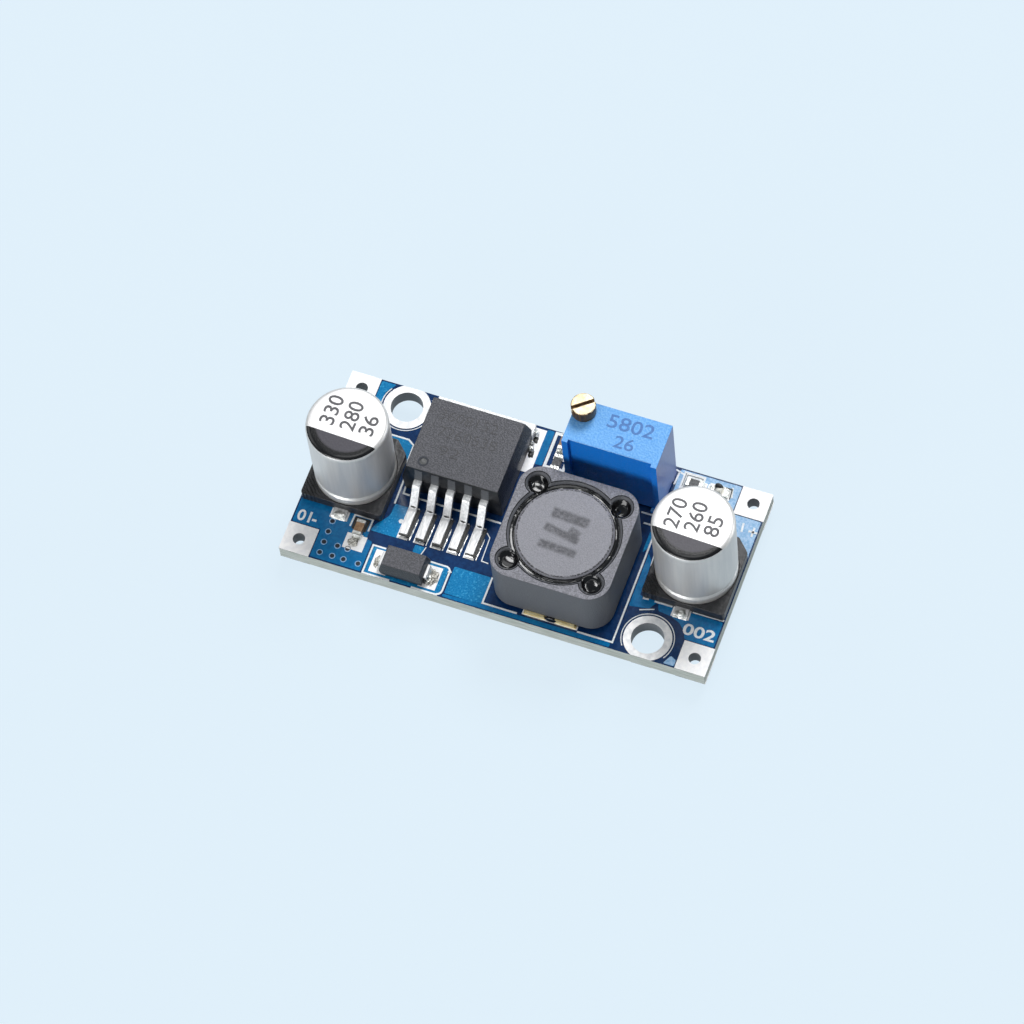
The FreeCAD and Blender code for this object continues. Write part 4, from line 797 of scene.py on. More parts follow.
@dataclass
class CircuitBoard:
    """The board: blue mask over its copper areas, white printed lines, rings, vias and pads."""

    top: float = 1.6
    copper_rise: float = 0.03
    ink_rise: float = 0.055
    line: float = 0.17
    fine_line: float = 0.09
    mount_line: float = 2.55
    via_bore: float = 0.23
    via_rim: float = 0.33
    mounts: tuple[Point, ...] = ((-15.2, 7.98), (15.2, -7.98))
    vias: tuple[Point, ...] = (
        (-17.72, -9.28), (-17.72, -8.12), (-17.72, -6.96), (-17.72, -5.8), (-16.444, -9.28),
        (-15.284, -9.28), (-13.776, -9.28), (-16.328, -8.12), (-15.284, -8.12),
    )

    def build(self) -> None:
        """Builds the board's own dress."""
        dress(BARE_BOARD, "board")
        dress(LEVELLED_TIN, "wire_pads", "pin_pads", "solder_lands")
        dress(RING_TIN, "mounting_rings")
        dress(SOLDER, "solder_fillets", "pin_solder")
        self.copper_areas()
        self.printed_lines()
        self.via_rims()

    def copper_areas(self) -> None:
        """The mask is raised and brighter where copper lies under it, and paler still where a sheen is
        painted in.
        """
        areas = bmesh.new()
        deep = [
            [(-18.5, -9.95), (-13.3, -9.95), (-13.3, -6.65), (-13.95, -6.55), (-13.95, -4.3),
             (-21.45, -4.3), (-21.45, -6.95), (-18.5, -6.95)],
            [(-4.95, -9.7), (-4.95, -10.0), (12.0, -10.0), (12.0, -9.55), (-0.9, -9.55)],
            [(12.35, 0.5), (12.9, -0.3), (13.0, -3.95), (14.9, -4.0), (14.3, -5.0), (12.35, -5.3)],
            [(14.95, -4.2), (21.45, -4.2), (21.45, -6.95), (18.5, -6.95), (18.3, -6.3), (17.5, -5.5),
             (16.5, -5.1), (15.2, -4.95)],
            [(-1.35, 6.1), (-0.6, 6.1), (-0.6, 9.95), (-1.35, 9.95)],
        ]
        bright = [
            [(-12.6, -2.15), (-10.95, -2.15), (-10.95, -5.55), (-13.9, -5.55), (-13.6, -4.7),
             (-13.0, -4.0), (-12.65, -3.4)],
            [(-9.25, -5.65), (-8.25, -5.65), (-8.45, -6.5), (-9.25, -6.5)],
            [(-12.95, -9.95), (-5.25, -9.95), (-5.25, -7.0), (-12.95, -7.0)],
            [(-4.85, -9.6), (-1.1, -9.6), (-1.1, -6.65), (-4.85, -6.65)],
            [(-15.7, 4.62), (-13.75, 4.62), (-13.2, 4.2), (-13.15, 1.6), (-15.7, 1.6)],
            [(-18.5, 9.95), (-17.0, 9.95), (-17.75, 8.9), (-17.8, 7.3), (-18.5, 6.95)],
            [(11.7, 2.7), (12.05, 2.7), (12.05, 0.9), (11.7, 0.4)],
        ]
        # The pale areas are painted paler as the mask's sheen at the back right.
        pale = [
            [(12.35, 9.95), (18.5, 9.95), (18.5, 6.95), (21.45, 6.95), (21.45, 2.5), (12.35, 2.5)],
            [(17.9, -9.0), (18.5, -9.3), (18.5, -9.95), (17.4, -9.95)],
        ]
        for number, group in enumerate((deep, bright, pale)):
            for outline in group:
                add_plate(areas, outline, self.top, self.top + self.copper_rise, 0.15, number)
        finish_piece("copper_areas", areas, [DEEP_MASK, BRIGHT_MASK, PALE_MASK_AND_SHEEN])

    def printed_lines(self) -> None:
        """White outlines of the parts, the terminals' marks and plain numbers."""
        ink = bmesh.new()
        low, high = self.top, self.top + self.ink_rise
        lines = [
            [(2.5, -9.43), (-1.0, -9.43), (-1.0, -6.6)],
            [(8.6, -9.43), (12.15, -9.43), (12.15, 2.1)],
            [(-10.3, -10.0), (-13.07, -10.0), (-13.07, -6.95), (-11.75, -6.95)],
            [(-8.1, -10.0), (-5.5, -10.0), *arc((-5.6, -9.45), 0.5, -80, 0, 4), (-5.1, -7.4),
             *arc((-5.6, -7.4), 0.5, 0, 80, 4), (-7.4, -6.9)],
            [(-15.7, 4.72), (-13.8, 4.72), (-13.12, 4.3), (-13.08, 2.6), (-12.72, 0.6), (-12.68, -2.15)],
            [(-12.3, -0.1), (-12.25, -0.86), (-11.6, -0.88)],
            [(-11.2, -0.95), (-2.2, -0.95)],
            [(-11.2, -2.8), (-10.95, -2.55)],
            [(-15.93, -5.75), (-15.87, -4.45), (-14.03, -4.45), (-14.05, -5.75)],
            [(13.3, -3.3), (13.45, -4.14), (13.95, -4.1)],
            [(14.55, -4.12), (16.35, -4.12)],
            [(18.35, -4.05), (21.5, -4.0)],
            [(12.9, 0.65), (13.0, -0.7)],
            [(10.2, 4.42), (11.35, 4.42)],
            [(10.8, 3.4), (11.75, 3.4)],
            [(11.9, 9.75), (12.75, 9.5)],
            [(12.3, 9.6), (12.2, 8.2)],
            [(17.7, 9.6), (17.95, 8.5)],
        ]
        for path in lines:
            add_stroke(ink, path, self.line, low, high)
        for path in ([(-8.15, -5.6), (-8.38, -6.55)], [(13.45, -5.4), (14.8, -4.92)]):
            add_stroke(ink, path, 0.1, low, high)
        faint = [(-3.1, -2.35), (-2.68, -2.75), (-2.6, -5.3), (-1.9, -5.35)]
        add_stroke(ink, faint, self.fine_line, low, high)
        box = [(-0.35, 6.15), (1.55, 6.15), (1.55, 9.85), (-0.35, 9.85)]
        add_stroke(ink, box, 0.3, low, high, closed=True)
        for centre in self.mounts:
            inward = 1 if centre[1] < 0 else -1
            ring = arc(centre, self.mount_line, inward * -35, inward * 215, 40)
            add_stroke(ink, ring, self.fine_line, low, high)
        add_plate(ink, arc((-11.42, -3.75), 0.23, 0, 345, 24), low, high)
        add_stroke(ink, [(-19.65, -6.28), (-19.2, -6.28)], 0.24, low, high)
        plus = ([(19.9, 6.35), (20.0, 5.4)], [(20.6, 5.7), (21.5, 5.7)], [(21.05, 5.2), (21.05, 6.2)])
        for path in plus:
            add_stroke(ink, path, 0.2, low, high)
        add_figures(ink, "01", (-20.5, -6.1), 1.35, 1.2, 0, low, high, thin=0.02)
        add_figures(ink, "002", (19.65, -5.9), 3.2, 1.2, 0, low, high, thin=0.02)
        finish_piece("printed_lines", ink, [SCREEN_INK])

    def via_rims(self) -> None:
        """A dark disc of painted shade in each via's mouth, and a pale masked rim with a painted sheen."""
        rims = bmesh.new()
        low, high = self.top, self.top + self.copper_rise
        bore, rim, fill = self.via_bore, self.via_rim, self.via_bore + 0.01
        section = [(bore, low), (rim, low), (rim - 0.02, high + 0.02), (bore, high + 0.02)]
        mouth_shade = [(0.0, low), (fill, low), (fill, high + 0.008), (0.0, high + 0.008)]
        for centre in self.vias:
            add_turned(rims, centre, section, steps=20)
            add_turned(rims, centre, mouth_shade, steps=20, finish=1)
        finish_piece("via_rims", rims, [PALE_MASK_AND_SHEEN, VIA_MOUTH_SHADE])


@dataclass
class ElectrolyticCan:
    """A can of drawn aluminium with a printed segment and plain numbers, on its moulded base."""

    end: str
    axis: Point
    chord: float
    figures: tuple[str, ...]
    rows: tuple[Point, ...]
    tilt: float = 2.0
    rim: float = 0.22
    print_shift: Point = (0.12, 0.02)
    figure_pitch: float = 1.04
    figure_height: float = 1.52
    figure_turn: float = 88.0
    solder_reach: float = 4.7
    solder_drop: tuple[float, float, float] = (0.72, 0.42, 0.26)

    def build(self) -> None:
        """Builds and dresses one can."""
        self.can()
        self.marks()
        self.base()
        dress(TINNED_LEAD, f"{self.end}_capacitor_terminals")

    def can(self) -> None:
        """The can with its segment cut along a straight line and lacquered over the rim."""
        node = f"{self.end}_capacitor_can"
        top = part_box(node)[1].z
        shape = merged_copy_of(node)
        line = Vector((self.axis[0] * MM, self.chord * MM, 0))
        across = Vector((math.sin(math.radians(self.tilt)), math.cos(math.radians(self.tilt)), 0))
        everything = shape.verts[:] + shape.edges[:] + shape.faces[:]
        bmesh.ops.bisect_plane(shape, geom=everything, plane_co=line, plane_no=across, dist=0)
        rim_low = Vector((0, 0, top - self.rim * MM))
        everything = shape.verts[:] + shape.edges[:] + shape.faces[:]
        bmesh.ops.bisect_plane(shape, geom=everything, plane_co=rim_low, plane_no=(0, 0, 1), dist=0)
        for face in shape.faces:
            middle = face.calc_center_median()
            if (middle - line).dot(across) < 0 and middle.z > rim_low.z:
                face.material_index = 1
        about = (self.axis[0] + self.print_shift[0], self.axis[1] + self.print_shift[1])
        print_and_reflection = PolarityPrintAndReflection(f"{self.end}_polarity_print_and_painted_reflection", "#38363f", "#403e47", 0.2, 0.4, 0.0,
                                     0.002, centre=about)
        finish_piece(f"{self.end}_can", shape, [CAN_METAL_TOP_SHEEN, print_and_reflection], (node,), smooth=50)

    def marks(self) -> None:
        """Three lines of plain numbers across the can's top."""
        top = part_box(f"{self.end}_capacitor_can")[1].z / MM
        shape = bmesh.new()
        for text, place in zip(self.figures, self.rows):
            length = self.figure_pitch * len(text)
            add_figures(shape, text, place, length, self.figure_height, self.figure_turn,
                        top - 0.002, top + 0.006, thin=0.01)
        finish_piece(f"{self.end}_can_numbers", shape, [CAN_INK])

    def base(self) -> None:
        """The moulded base with rounded edges, and solder on both of its terminals."""
        node = f"{self.end}_capacitor_base"
        shape = copy_of(node)
        soften(shape, 0.06)
        corner = (self.axis[0] - 3.6, self.axis[1] - 3.5)
        phenolic = RippledMoulding(f"{self.end}_base_phenolic", "#19191b", "#2a2a2d", 0.35, 0.42,
                                   depth=0.12, corner=corner)
        finish_piece(f"{self.end}_can_base", shape, [phenolic], (node,))
        drop = bmesh.new()
        for side in (-1, 1):
            x, y = self.axis[0], self.axis[1] + side * self.solder_reach
            add_blob(drop, (x, y, 1.75), self.solder_drop, 1.64, 3.1 * side + x, rough=0.3)
        finish_piece(f"{self.end}_can_solder", drop, [SOLDER])


@dataclass
class Regulator:
    """The five-lead regulator: spotted moulding, ribs above its leads, tinned leads and tab."""

    pitch: float = 1.7
    centre_x: float = -7.3
    parting: float = 4.25
    draft: float = 13.0
    rib: float = 0.8
    rib_reach: float = 0.86
    rib_proud: float = 0.025
    edge: float = 0.07
    shoulder_y: float = -2.18
    dimple: Point = (-10.55, 1.0)
    dimple_ring: tuple[float, float] = (0.36, 0.54)

    def build(self) -> None:
        """Builds and dresses the regulator."""
        shape = copy_of("regulator_body")
        soften(shape, self.edge)
        # The front wall is painted near black as shade.
        for face in shape.faces:
            if face.normal.y < -0.6:
                face.material_index = 1
        finishes = [PACKAGE, PACKAGE_FRONT_SHADE]
        finish_piece("regulator_moulding", shape, finishes, ("regulator_body",))
        self.ribs()
        self.leads()
        self.pin_mark()
        self.numbers()
        dress(TINNED_LEAD, "regulator_tab")

    def lead_places(self) -> list[float]:
        """Each lead's place along the regulator's front."""
        return [self.centre_x + step * self.pitch for step in (-2, -1, 0, 1, 2)]

    def ribs(self) -> None:
        """A lighter rib on the moulding's front wall above each lead."""
        low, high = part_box("regulator_body")
        front = low.y / MM
        rise = high.z / MM - self.parting
        lean_back = math.tan(math.radians(self.draft)) * rise
        shape = bmesh.new()
        for x in self.lead_places():
            part = bmesh.new()
            bmesh.ops.create_cube(part, size=1.0)
            for vert in part.verts:
                up, back = vert.co.z > 0, vert.co.y > 0
                half = vert.co.x * self.rib * (0.97 if up else 1.0)
                lean = lean_back * self.rib_reach if up else 0.0
                depth = 0.2 if back else -self.rib_proud
                level = self.parting + (rise * self.rib_reach if up else 0.03)
                vert.co = Vector((x + half, front + lean + depth, level)) * MM
            soften(part, 0.02)
            join_into(shape, part)
        finish_piece("regulator_ribs", shape, [PACKAGE_RIB])

    def leads(self) -> None:
        """The leads with sheared edges rounded a little, with painted shadow beside and across their feet, a
        painted highlight along each land's edge and painted shade at each bend.
        """
        shape = copy_of("regulator_leads")
        soften(shape, 0.04)
        surface = BVHTree.FromBMesh(shape)
        finish_piece("regulator_pins", shape, [TINNED_LEAD], ("regulator_leads",))
        painted_light = bmesh.new()
        for x in self.lead_places():
            # Dark plates beside each foot and across its tip are painted shadow; the white line is a painted
            # highlight on the land's lit edge.
            foot_shadow = [(x + 0.38, -5.16), (x + 0.66, -5.16), (x + 0.72, -2.1), (x + 0.38, -2.1)]
            add_plate(painted_light, foot_shadow, 1.6, 1.68)
            toe_shade = [(x - 0.4, -5.24), (x + 0.66, -5.24), (x + 0.66, -5.14), (x - 0.4, -5.14)]
            add_plate(painted_light, toe_shade, 1.62, 1.99)
            edge = [(x + 0.7, -5.45), (x + 0.8, -5.45), (x + 0.86, -3.3), (x + 0.8, -3.0)]
            add_plate(painted_light, edge, 1.6, 1.7, finish=1)
            # A dark drop at the lead's bend is painted shade.
            spot = surface.ray_cast(Vector((x, self.shoulder_y, 9.0)) * MM, Vector((0, 0, -1)))[0]
            bend_shade = (x + 0.02, self.shoulder_y, spot.z / MM)
            add_blob(painted_light, bend_shade, (0.27, 0.16, 0.03), 1.6, x, rough=0.4)
        finish_piece("lead_painted_shade_and_highlight", painted_light, [PAINTED_SHADE, SOLDER])

    def pin_mark(self) -> None:
        """The ejector's dimple at the first lead: a dark ring of painted shade round its edge, and a plain
        floor.
        """
        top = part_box("regulator_body")[1].z / MM
        mark = bmesh.new()
        inner, outer = self.dimple_ring
        ring = [(inner, top - 0.02), (outer, top - 0.02), (outer, top + 0.012), (inner, top + 0.012)]
        add_turned(mark, self.dimple, ring, steps=36)
        floor = (*self.dimple, top - 0.06)
        add_blob(mark, floor, (inner, inner, 0.06), top - 0.1, 2.2, rough=0.35, finish=1)
        finish_piece("first_lead_mark", mark, [VIA_MOUTH_SHADE, PACKAGE_RIB])

    def numbers(self) -> None:
        """Faint plain numbers, darker than the moulding's top."""
        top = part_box("regulator_body")[1].z / MM
        shape = bmesh.new()
        for text, centre, length in (("3608152", (-7.81, 6.34), 5.9), ("7260538", (-7.34, 4.59), 5.9),
                                     ("92", (-8.52, 2.62), 2.1)):
            add_figures(shape, text, centre, length, 1.05, 0, top - 0.01, top + 0.015)
        finish_piece("package_numbers", shape, [PACKAGE_INK])


@dataclass
class Inductor:
    """The shielded inductor: square ferrite ring, inked drum, glue with a wetted edge, gilt clips."""

    centre: Point = (5.45, -3.05)
    bore: float = 5.25
    lobe_radius: float = 1.0
    lobe_reach: float = 5.9
    flange: float = 4.75
    level: float = 8.3
    skin: float = 0.5
    voxel: float = 0.075
    smoothing: int = 6
    wall_climb: float = 0.2
    drum_climb: float = 0.12
    climb_reach: float = 0.1
    groove_shadow: float = 0.24
    groove_shadow_width: float = 0.085

    def build(self) -> None:
        """Builds and dresses the inductor."""
        shape = copy_of("inductor_shield")
        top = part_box("inductor_shield")[1].z / MM
        soften(shape, 0.05, keep=lambda edge: min(v.co.z for v in edge.verts) > (top - 0.3) * MM)
        finish_piece("ferrite_shield", shape, [SHIELD], ("inductor_shield",))
        # A black line round the bore and its reliefs is painted as the shadow of a step at the bore's edge.
        groove_shadow = bmesh.new()
        line = self.lip_line(self.groove_shadow)
        add_stroke(groove_shadow, line, self.groove_shadow_width, top - 0.03, top + 0.004, closed=True)
        finish_piece("shield_groove_painted_shadow", groove_shadow, [ADHESIVE])
        inner = {"drum": DRUM, "clips": GILT, "base": BLACK_PLATE, "winding": ENAMELLED_WIRE}
        for part, finish in inner.items():
            dress(finish, f"inductor_{part}")
        self.glue()
        # A black drop and block fill the gap between the clips, painted as the shade in that gap.
        drop = bmesh.new()
        add_blob(drop, (5.85, -9.22, 1.95), (0.6, 0.12, 0.4), 1.61, 4.4)
        add_plate(drop, [(5.45, -9.27), (6.25, -9.27), (6.25, -8.9), (5.45, -8.9)], 1.6, 2.27)
        finish_piece("clip_glue_and_gap_shade", drop, [ADHESIVE])

    def lip_line(self, away: float) -> list[Point]:
        """The outline of the bore and its four reliefs, moved outwards.

        Args:
            away: how far outside the bore's edge it runs, in millimetres.

        Returns:
            Its points in millimetres, all the way round.
        """
        wide, small, reach = self.bore + away, self.lobe_radius + away, self.lobe_reach
        meet = math.degrees(math.acos((wide**2 + reach**2 - small**2) / (2 * wide * reach)))
        turn = 180 - math.degrees(math.acos((small**2 + reach**2 - wide**2) / (2 * small * reach)))
        points = []
        for quarter in (45, 135, 225, 315):
            heading = math.radians(quarter)
            lobe = (self.centre[0] + reach * math.cos(heading), self.centre[1] + reach * math.sin(heading))
            points += arc(lobe, small, quarter - turn, quarter + turn, 24)
            points += arc(self.centre, wide, quarter + meet, quarter + 90 - meet, 30)[1:-1]
        return points

    def lobe_centres(self) -> list[Vector]:
        """The middles of the four reliefs, from the inductor's own centre."""
        reach = self.lobe_reach / math.sqrt(2)
        return [Vector((sx * reach, sy * reach)) for sx in (-1, 1) for sy in (-1, 1)]

    def glue_height(self, place: Vector) -> float:
        """How far the set glue stands above its level at a place.

        Args:
            place: the place from the inductor's own centre, in millimetres.

        Returns:
            The height in millimetres.
        """
        radius = place.length
        lobe = max(self.lobe_radius - (place - c).length for c in self.lobe_centres())
        to_wall = max(self.bore - radius, lobe)
        to_drum = radius - self.flange
        climb = self.wall_climb * math.exp(-max(to_wall, 0) / self.climb_reach)
        climb += self.drum_climb * math.exp(-max(to_drum, 0) / self.climb_reach)
        lump = noise.noise(Vector((place.x * 0.9, place.y * 0.9, 2.3)))
        in_lobe = min(max(lobe / 0.4, 0.0), 1.0)
        hump = in_lobe * (0.3 * noise.noise(Vector((place.x * 0.8, place.y * 0.8, 7.7))) - 0.3)
        return climb + 0.05 * lump + hump - 0.12

    def glue(self) -> None:
        """The glue, remeshed finely and drawn up along the walls that it wets."""
        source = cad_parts["inductor_adhesive"]
        holder = bpy.data.objects.new("glue_start", source.data.copy())
        bpy.context.scene.collection.objects.link(holder)
        remesh = holder.modifiers.new("fine", "REMESH")
        remesh.mode = "VOXEL"
        remesh.voxel_size = self.voxel * MM
        graph = bpy.context.evaluated_depsgraph_get()
        mesh = bpy.data.meshes.new_from_object(holder.evaluated_get(graph))
        bpy.data.objects.remove(holder)
        shape = bmesh.new()
        shape.from_mesh(mesh)
        bpy.data.meshes.remove(mesh)
        upper = [vert for vert in shape.verts if self.level - vert.co.z / MM < self.skin]
        for _ in range(self.smoothing):
            bmesh.ops.smooth_vert(shape, verts=upper, factor=0.5, use_axis_x=True, use_axis_y=True,
                                  use_axis_z=True)
        for vert in upper:
            depth = self.level - vert.co.z / MM
            if depth < self.skin:
                place = Vector((vert.co.x / MM - self.centre[0], vert.co.y / MM - self.centre[1]))
                share = 1 - max(depth, 0.0) / self.skin
                vert.co.z += share * self.glue_height(place) * MM
        finish_piece("set_glue", shape, [ADHESIVE], ("inductor_adhesive",), smooth=60)


@dataclass
class Trimmer:
    """The multi-turn trimmer: frosted blue case with plain numbers, brass screw and its inner drive."""

    edge: float = 0.1
    recess: float = 0.4
    head: float = 1.6
    print_thin: float = 0.008
    flash_inset: float = 0.45
    flash_step: float = 0.06
    flash_depth: float = 0.1
    flash_proud: float = 0.03

    def build(self) -> None:
        """Builds and dresses the trimmer."""
        shape = copy_of("trimmer_housing")
        soften(shape, self.edge, segments=2)
        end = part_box("trimmer_housing")[1].x
        # The case's right end face is painted a greyer blue as a reflection.
        for face in shape.faces:
            if face.normal.x > 0.9 and face.calc_center_median().x > end - 0.3 * MM:
                face.material_index = 1
        finishes = [TRIMMER_CASE_TOP_SHEEN, TRIMMER_END_REFLECTION]
        finish_piece("trimmer_case", shape, finishes, ("trimmer_housing",))
        self.numbers()
        low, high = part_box("trimmer_screw")
        axis = ((low.x + high.x) / 2 / MM, (low.y + high.y) / 2 / MM)
        brass = TurnedMetal("turned_brass", "#fbeacb", "#efd6a6", 0.4, 0.35, 0.35, 0.003, centre=axis)
        shape = copy_of("trimmer_screw")
        shaft_end = high.z - self.head * MM
        soften(shape, 0.03, keep=lambda edge: min(v.co.z for v in edge.verts) > shaft_end)
        # The screw's side and slot walls take tarnish with painted shade; the slot's floor and the top stay
        # bright brass.
        for face in shape.faces:
            if face.calc_center_median().z < high.z - 0.05 * MM and face.normal.z < 0.9:
                face.material_index = 1
        finish_piece("adjusting_screw_brass", shape, [brass, BRASS_TARNISH_AND_SHADE],
                     ("trimmer_screw",), body="adjusting_screw")
        self.flash()
        drive = {
            "trimmer_base": TRIMMER_PLATE, "screw_seal": RUBBER, "screw_clip": STEEL,
            "trimmer_rotor": NYLON, "trimmer_wiper": BRONZE, "trimmer_element": WHITE_CERAMIC,
            "resistive_track": CERMET, "trimmer_pins": TINNED_LEAD,
        }
        for node, finish in drive.items():
            dress(finish, node)

    def numbers(self) -> None:
        """Plain numbers in a darker blue on the case's top."""
        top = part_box("trimmer_housing")[1].z / MM
        shape = bmesh.new()
        rows = (("5802", (8.34, 8.12), 4.6, 1.45), ("26", (8.29, 6.2), 1.95, 1.3))
        for text, centre, length, height in rows:
            add_figures(shape, text, centre, length, height, 0, top - 0.004, top + 0.006,
                        thin=self.print_thin)
        finish_piece("trimmer_numbers", shape, [TRIMMER_INK])

    def flash(self) -> None:
        """The ragged, paler flash where the case's mould closed along its top front edge."""
        low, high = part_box("trimmer_housing")
        top, front = high.z / MM - 0.01, low.y / MM + self.recess
        part = bmesh.new()
        left, right = low.x / MM + self.flash_inset, high.x / MM - self.flash_inset
        count = int((right - left) / self.flash_step)
        rows = []
        for i in range(count + 1):
            x = left + self.flash_step * i
            ragged = noise.noise(Vector((x * 6.0, 1.7, 0.0)))
            depth = self.flash_depth + self.flash_depth * max(ragged, -0.6)
            rows.append([part.verts.new(Vector((x, front, z)) * MM) for z in (top, top - depth)])
        for (a, b), (c, d) in zip(rows, rows[1:]):
            part.faces.new((a, b, d, c))
        thicken(part, (0, -self.flash_proud, 0))
        shape = bmesh.new()
        join_into(shape, part)
        finish_piece("trimmer_flash", shape, [TRIMMER_FLASH])


@dataclass
class SmallParts:
    """The rectifier diode, the chip parts and the lamp, with the solder that holds them."""

    def build(self) -> None:
        """Builds and dresses the small parts."""
        shape = copy_of("diode_body")
        soften(shape, 0.05)
        finish_piece("diode_moulding", shape, [PACKAGE], ("diode_body",))
        dress(TINNED_LEAD, "diode_terminals")
        dress(TAN_CERAMIC, "input_chip_capacitor_body", "feedback_capacitor_body")
        dress(RESISTOR_GLAZE, "feedback_resistor_body", "lamp_resistor_body")
        dress(CHIP_TIN, "input_chip_capacitor_ends", "feedback_resistor_ends", "feedback_capacitor_ends",
              "lamp_resistor_ends", "indicator_lamp_ends")
        dress(LAMP_RESIN, "indicator_lamp_body")
        self.diode_solder()
        self.back_corner()
        self.shade_and_solder_runs()

    def diode_solder(self) -> None:
        """Dull solder spread beside the diode's terminals, and a dark drop of painted shade at its right end
        with a white arc of painted highlight round it.
        """
        drops = bmesh.new()
        spread = (
            ((-6.42, -8.45, 1.72), (0.5, 0.8, 0.14), 5.2, 0.5),
            ((-12.1, -8.5, 1.72), (0.26, 0.6, 0.12), 9.4, 0.4),
            ((-15.05, -7.3, 1.7), (0.5, 0.45, 0.14), 3.3, 0.5),
        )
        for place, radii, seed, rough in spread:
            add_blob(drops, place, radii, 1.64, seed, rough=rough)
        # A dark drop of painted shade, and a bright arc of painted highlight beside it.
        add_blob(drops, (-6.95, -8.95, 2.0), (0.28, 0.42, 0.62), 1.64, 6.1, finish=1)
        ring = arc((-6.95, -8.85), 0.44, -75, 75, 12)
        add_stroke(drops, ring, 0.09, 1.66, 2.1, finish=2)
        finish_piece("diode_solder", drops, [DULL_SOLDER, PAINTED_SHADE, SOLDER])

    def back_corner(self) -> None:
        """White printed frames, and dark outlines and a dark drop of painted shade round the lamp and its
        resistor.
        """
        frames = bmesh.new()
        add_plate(frames, [(12.75, 7.6), (14.95, 7.6), (14.95, 9.85), (12.75, 9.85)], 1.6, 1.66)
        add_plate(frames, [(15.5, 7.6), (17.62, 7.6), (17.62, 9.45), (15.5, 9.45)], 1.6, 1.66)
        bracket = [(13.15, 9.25), (13.15, 9.55), (14.7, 9.55), (14.7, 9.25)]
        for path in (bracket, [(12.98, 9.7), (12.98, 8.2)]):
            add_stroke(frames, path, 0.06, 1.6, 1.68, finish=1)
        add_stroke(frames, [(17.1, 9.36), (17.72, 9.36), (17.78, 8.3)], 0.12, 1.6, 1.72, finish=1)
        add_blob(frames, (16.5, 9.02, 2.3), (0.42, 0.28, 0.35), 1.64, 2.7, finish=1)
        finish_piece("lamp_frames", frames, [SCREEN_INK, PAINTED_SHADE])

    def shade_and_solder_runs(self) -> None:
        """Painted shade round the input chip, and solder run out beside the regulator's tab among dark spots
        of painted shade.
        """
        shape = bmesh.new()
        add_plate(shape, [(-15.75, -5.95), (-14.25, -5.95), (-14.2, -4.62), (-15.78, -4.62)], 1.6, 1.67, 0.1)
        drops = (
            ((-2.12, 8.5, 1.66), (0.3, 0.34, 0.1), 1.1, 0.5, 0),
            ((-2.0, 7.0, 1.66), (0.25, 0.5, 0.1), 4.1, 0.5, 0),
            ((-2.25, 9.05, 1.8), (0.35, 0.38, 0.5), 5.0, 0.4, 1),
            ((-2.3, 8.02, 1.8), (0.3, 0.2, 0.4), 7.0, 0.4, 1),
            ((-2.2, 7.4, 1.75), (0.36, 0.32, 0.3), 8.0, 0.4, 1),
        )
        for place, radii, seed, rough, finish in drops:
            add_blob(shape, place, radii, 1.63, seed, rough=rough, finish=finish)
        finish_piece("painted_shade_and_solder_runs", shape, [PAINTED_SHADE, SOLDER])


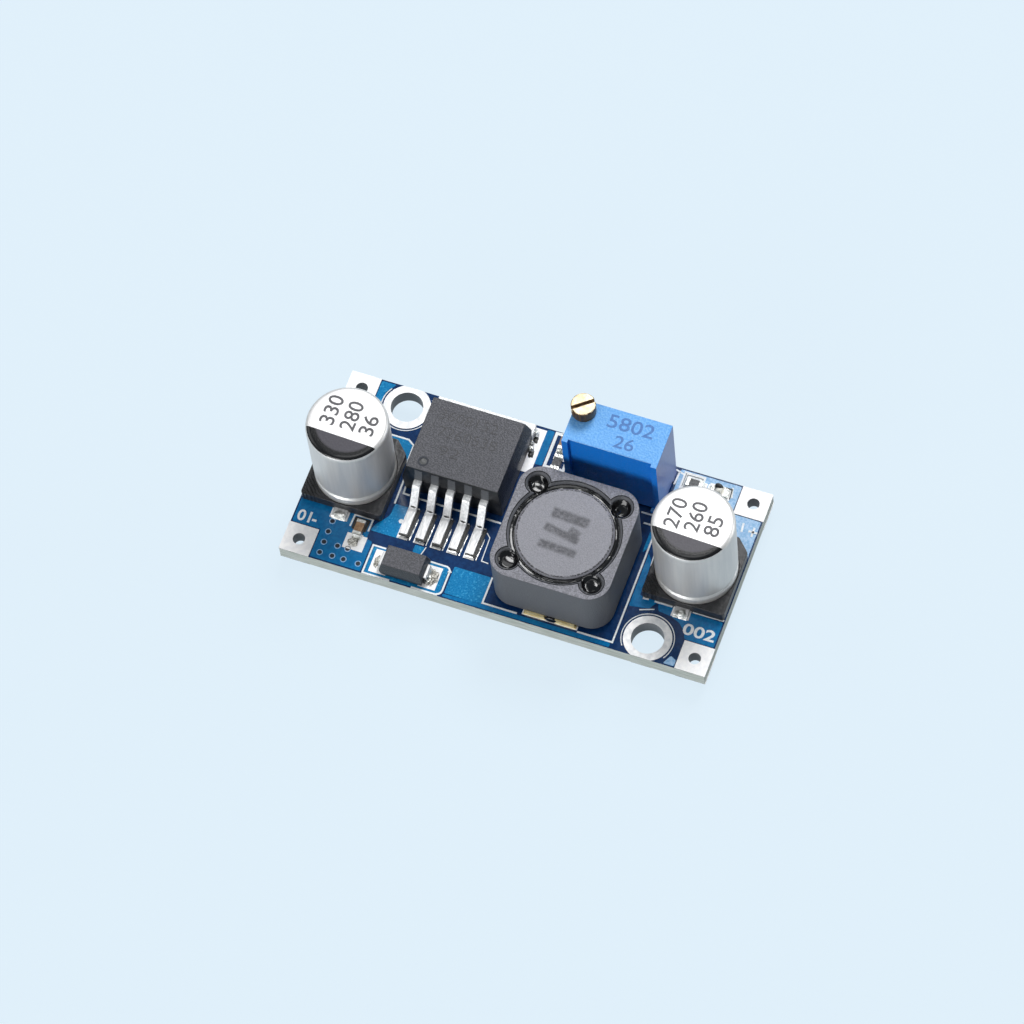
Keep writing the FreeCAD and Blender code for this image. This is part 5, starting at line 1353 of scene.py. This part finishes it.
@dataclass
class Studio:
    """Pale paper floor, soft lamps and the camera at the photograph's viewing angle."""

    background: str = "#e0f0fb"
    paper: str = "#6a7074"
    paper_glow: float = 1.53
    paper_share: float = 0.6
    floor_height: float = -1.3
    floor_reach: float = 0.9
    sky: str = "#eef4fa"
    sky_strength: float = 0.04
    sky_in_gloss: float = 0.25
    lamps: tuple[tuple[str, tuple[float, float, float], float, float], ...] = (
        ("overhead", (0.0, -0.03, 0.6), 0.3, 0.6),
        ("back", (0.05, 0.44, 0.57), 0.31, 4.3),
        ("front", (-0.14, -0.52, 0.17), 0.3, 1.9),
        ("left", (-0.5, -0.02, 0.36), 0.36, 0.6),
        ("right", (0.45, 0.26, 0.12), 0.2, 0.7),
    )
    lens: float = 193.36
    camera_at: tuple[float, float, float] = (0.1064775, -0.2082173, 0.4746531)
    aim: tuple[float, float, float] = (-0.0018013, 0.0008894, 0.00081)
    roll: float = -8.2128

    def build(self) -> None:
        """Builds the studio."""
        self.floor()
        self.world()
        self.camera()
        bpy.context.scene.view_settings.view_transform = "Standard"
        for name, place, size, power in self.lamps:
            self.lamp(name, place, size, power)

    def seen(self, tree: bpy.types.NodeTree, gloss: float) -> bpy.types.NodeSocket:
        """A factor that is 1 for what the camera sees straight or through glass.

        Args:
            tree: the node tree that asks.
            gloss: the factor for what it sees in a reflection.

        Returns:
            The socket with the factor.
        """
        path = add_node(tree, "ShaderNodeLightPath").outputs
        pair = {0: path["Is Camera Ray"], 1: path["Is Transmission Ray"]}
        straight = add_node(tree, "ShaderNodeMath", pair, operation="MAXIMUM").outputs[0]
        glossy = {0: path["Is Glossy Ray"], 1: gloss}
        dimmed = add_node(tree, "ShaderNodeMath", glossy, operation="MULTIPLY").outputs[0]
        pair = {0: straight, 1: dimmed}
        return add_node(tree, "ShaderNodeMath", pair, operation="MAXIMUM").outputs[0]

    def floor(self) -> None:
        """A sheet of pale paper that keeps a faint shadow."""
        shape = bmesh.new()
        bmesh.ops.create_grid(shape, x_segments=1, y_segments=1, size=self.floor_reach)
        bmesh.ops.translate(shape, verts=shape.verts, vec=(0, 0, self.floor_height * MM))
        mesh = bpy.data.meshes.new("floor")
        shape.to_mesh(mesh)
        shape.free()
        sheet = bpy.data.objects.new("floor", mesh)
        bpy.context.scene.collection.objects.link(sheet)
        material = bpy.data.materials.new("pale_paper")
        material.use_nodes = True
        tree = material.node_tree
        tree.nodes.clear()
        paper = add_node(tree, "ShaderNodeBsdfDiffuse", {"Color": srgb(self.paper)}).outputs[0]
        shine = {"Color": srgb(self.background), "Strength": self.paper_glow}
        glow = add_node(tree, "ShaderNodeEmission", shine).outputs[0]
        pair = {0: self.seen(tree, 1.0), 1: self.paper_share}
        share = add_node(tree, "ShaderNodeMath", pair, operation="MULTIPLY")
        both = add_node(tree, "ShaderNodeMixShader", {0: share.outputs[0], 1: paper, 2: glow})
        add_node(tree, "ShaderNodeOutputMaterial", {0: both.outputs[0]})
        mesh.materials.append(material)

    def world(self) -> None:
        """A pale surround that the camera and gloss see, and a weaker one that lights."""
        world = bpy.data.worlds.new("studio")
        bpy.context.scene.world = world
        world.use_nodes = True
        tree = world.node_tree
        tree.nodes.clear()
        weak = {"Color": srgb(self.sky), "Strength": self.sky_strength}
        light = add_node(tree, "ShaderNodeBackground", weak)
        view = add_node(tree, "ShaderNodeBackground", {"Color": srgb(self.background), "Strength": 1.0})
        pair = {0: self.seen(tree, self.sky_in_gloss), 1: light.outputs[0], 2: view.outputs[0]}
        both = add_node(tree, "ShaderNodeMixShader", pair)
        add_node(tree, "ShaderNodeOutputWorld", {0: both.outputs[0]})

    def lamp(self, name: str, place: tuple[float, float, float], size: float, power: float) -> None:
        """Adds a square soft lamp that looks at the module.

        Args:
            name: the lamp's name.
            place: its place in metres.
            size: its side in metres.
            power: its power in watts.
        """
        data = bpy.data.lights.new(name, "AREA")
        data.size = size
        data.energy = power
        lamp = bpy.data.objects.new(name, data)
        lamp.location = place
        lamp.rotation_mode = "QUATERNION"
        lamp.rotation_quaternion = (-Vector(place)).to_track_quat("-Z", "Y")
        bpy.context.scene.collection.objects.link(lamp)

    def camera(self) -> None:
        """The camera, with the small roll of the photograph."""
        data = bpy.data.cameras.new("camera")
        data.sensor_width = 36.0
        data.lens = self.lens
        data.clip_start, data.clip_end = 0.01, 10.0
        camera = bpy.data.objects.new("camera", data)
        camera.location = self.camera_at
        camera.rotation_mode = "QUATERNION"
        view = Vector(self.aim) - Vector(self.camera_at)
        turn = Matrix.Rotation(math.radians(self.roll), 3, "Z").to_quaternion()
        camera.rotation_quaternion = view.to_track_quat("-Z", "Y") @ turn
        bpy.context.scene.collection.objects.link(camera)
        bpy.context.scene.camera = camera


def main() -> None:
    """Builds the studio and every sub-assembly."""
    logging.basicConfig(level=logging.INFO, format="%(name)s: %(message)s")
    Studio().build()
    CircuitBoard().build()
    left_rows = ((-19.15, 0.6), (-17.1, 0.55), (-15.2, 0.1))
    right_rows = ((15.45, 0.5), (17.4, 0.7), (19.3, 0.25))
    ElectrolyticCan("input", (-17.3, -0.28), -1.83, ("330", "280", "36"), left_rows).build()
    ElectrolyticCan("output", (17.35, 0.1), -1.5, ("270", "260", "85"), right_rows).build()
    Regulator().build()
    Inductor().build()
    Trimmer().build()
    SmallParts().build()


if __name__ == "__main__":
    main()
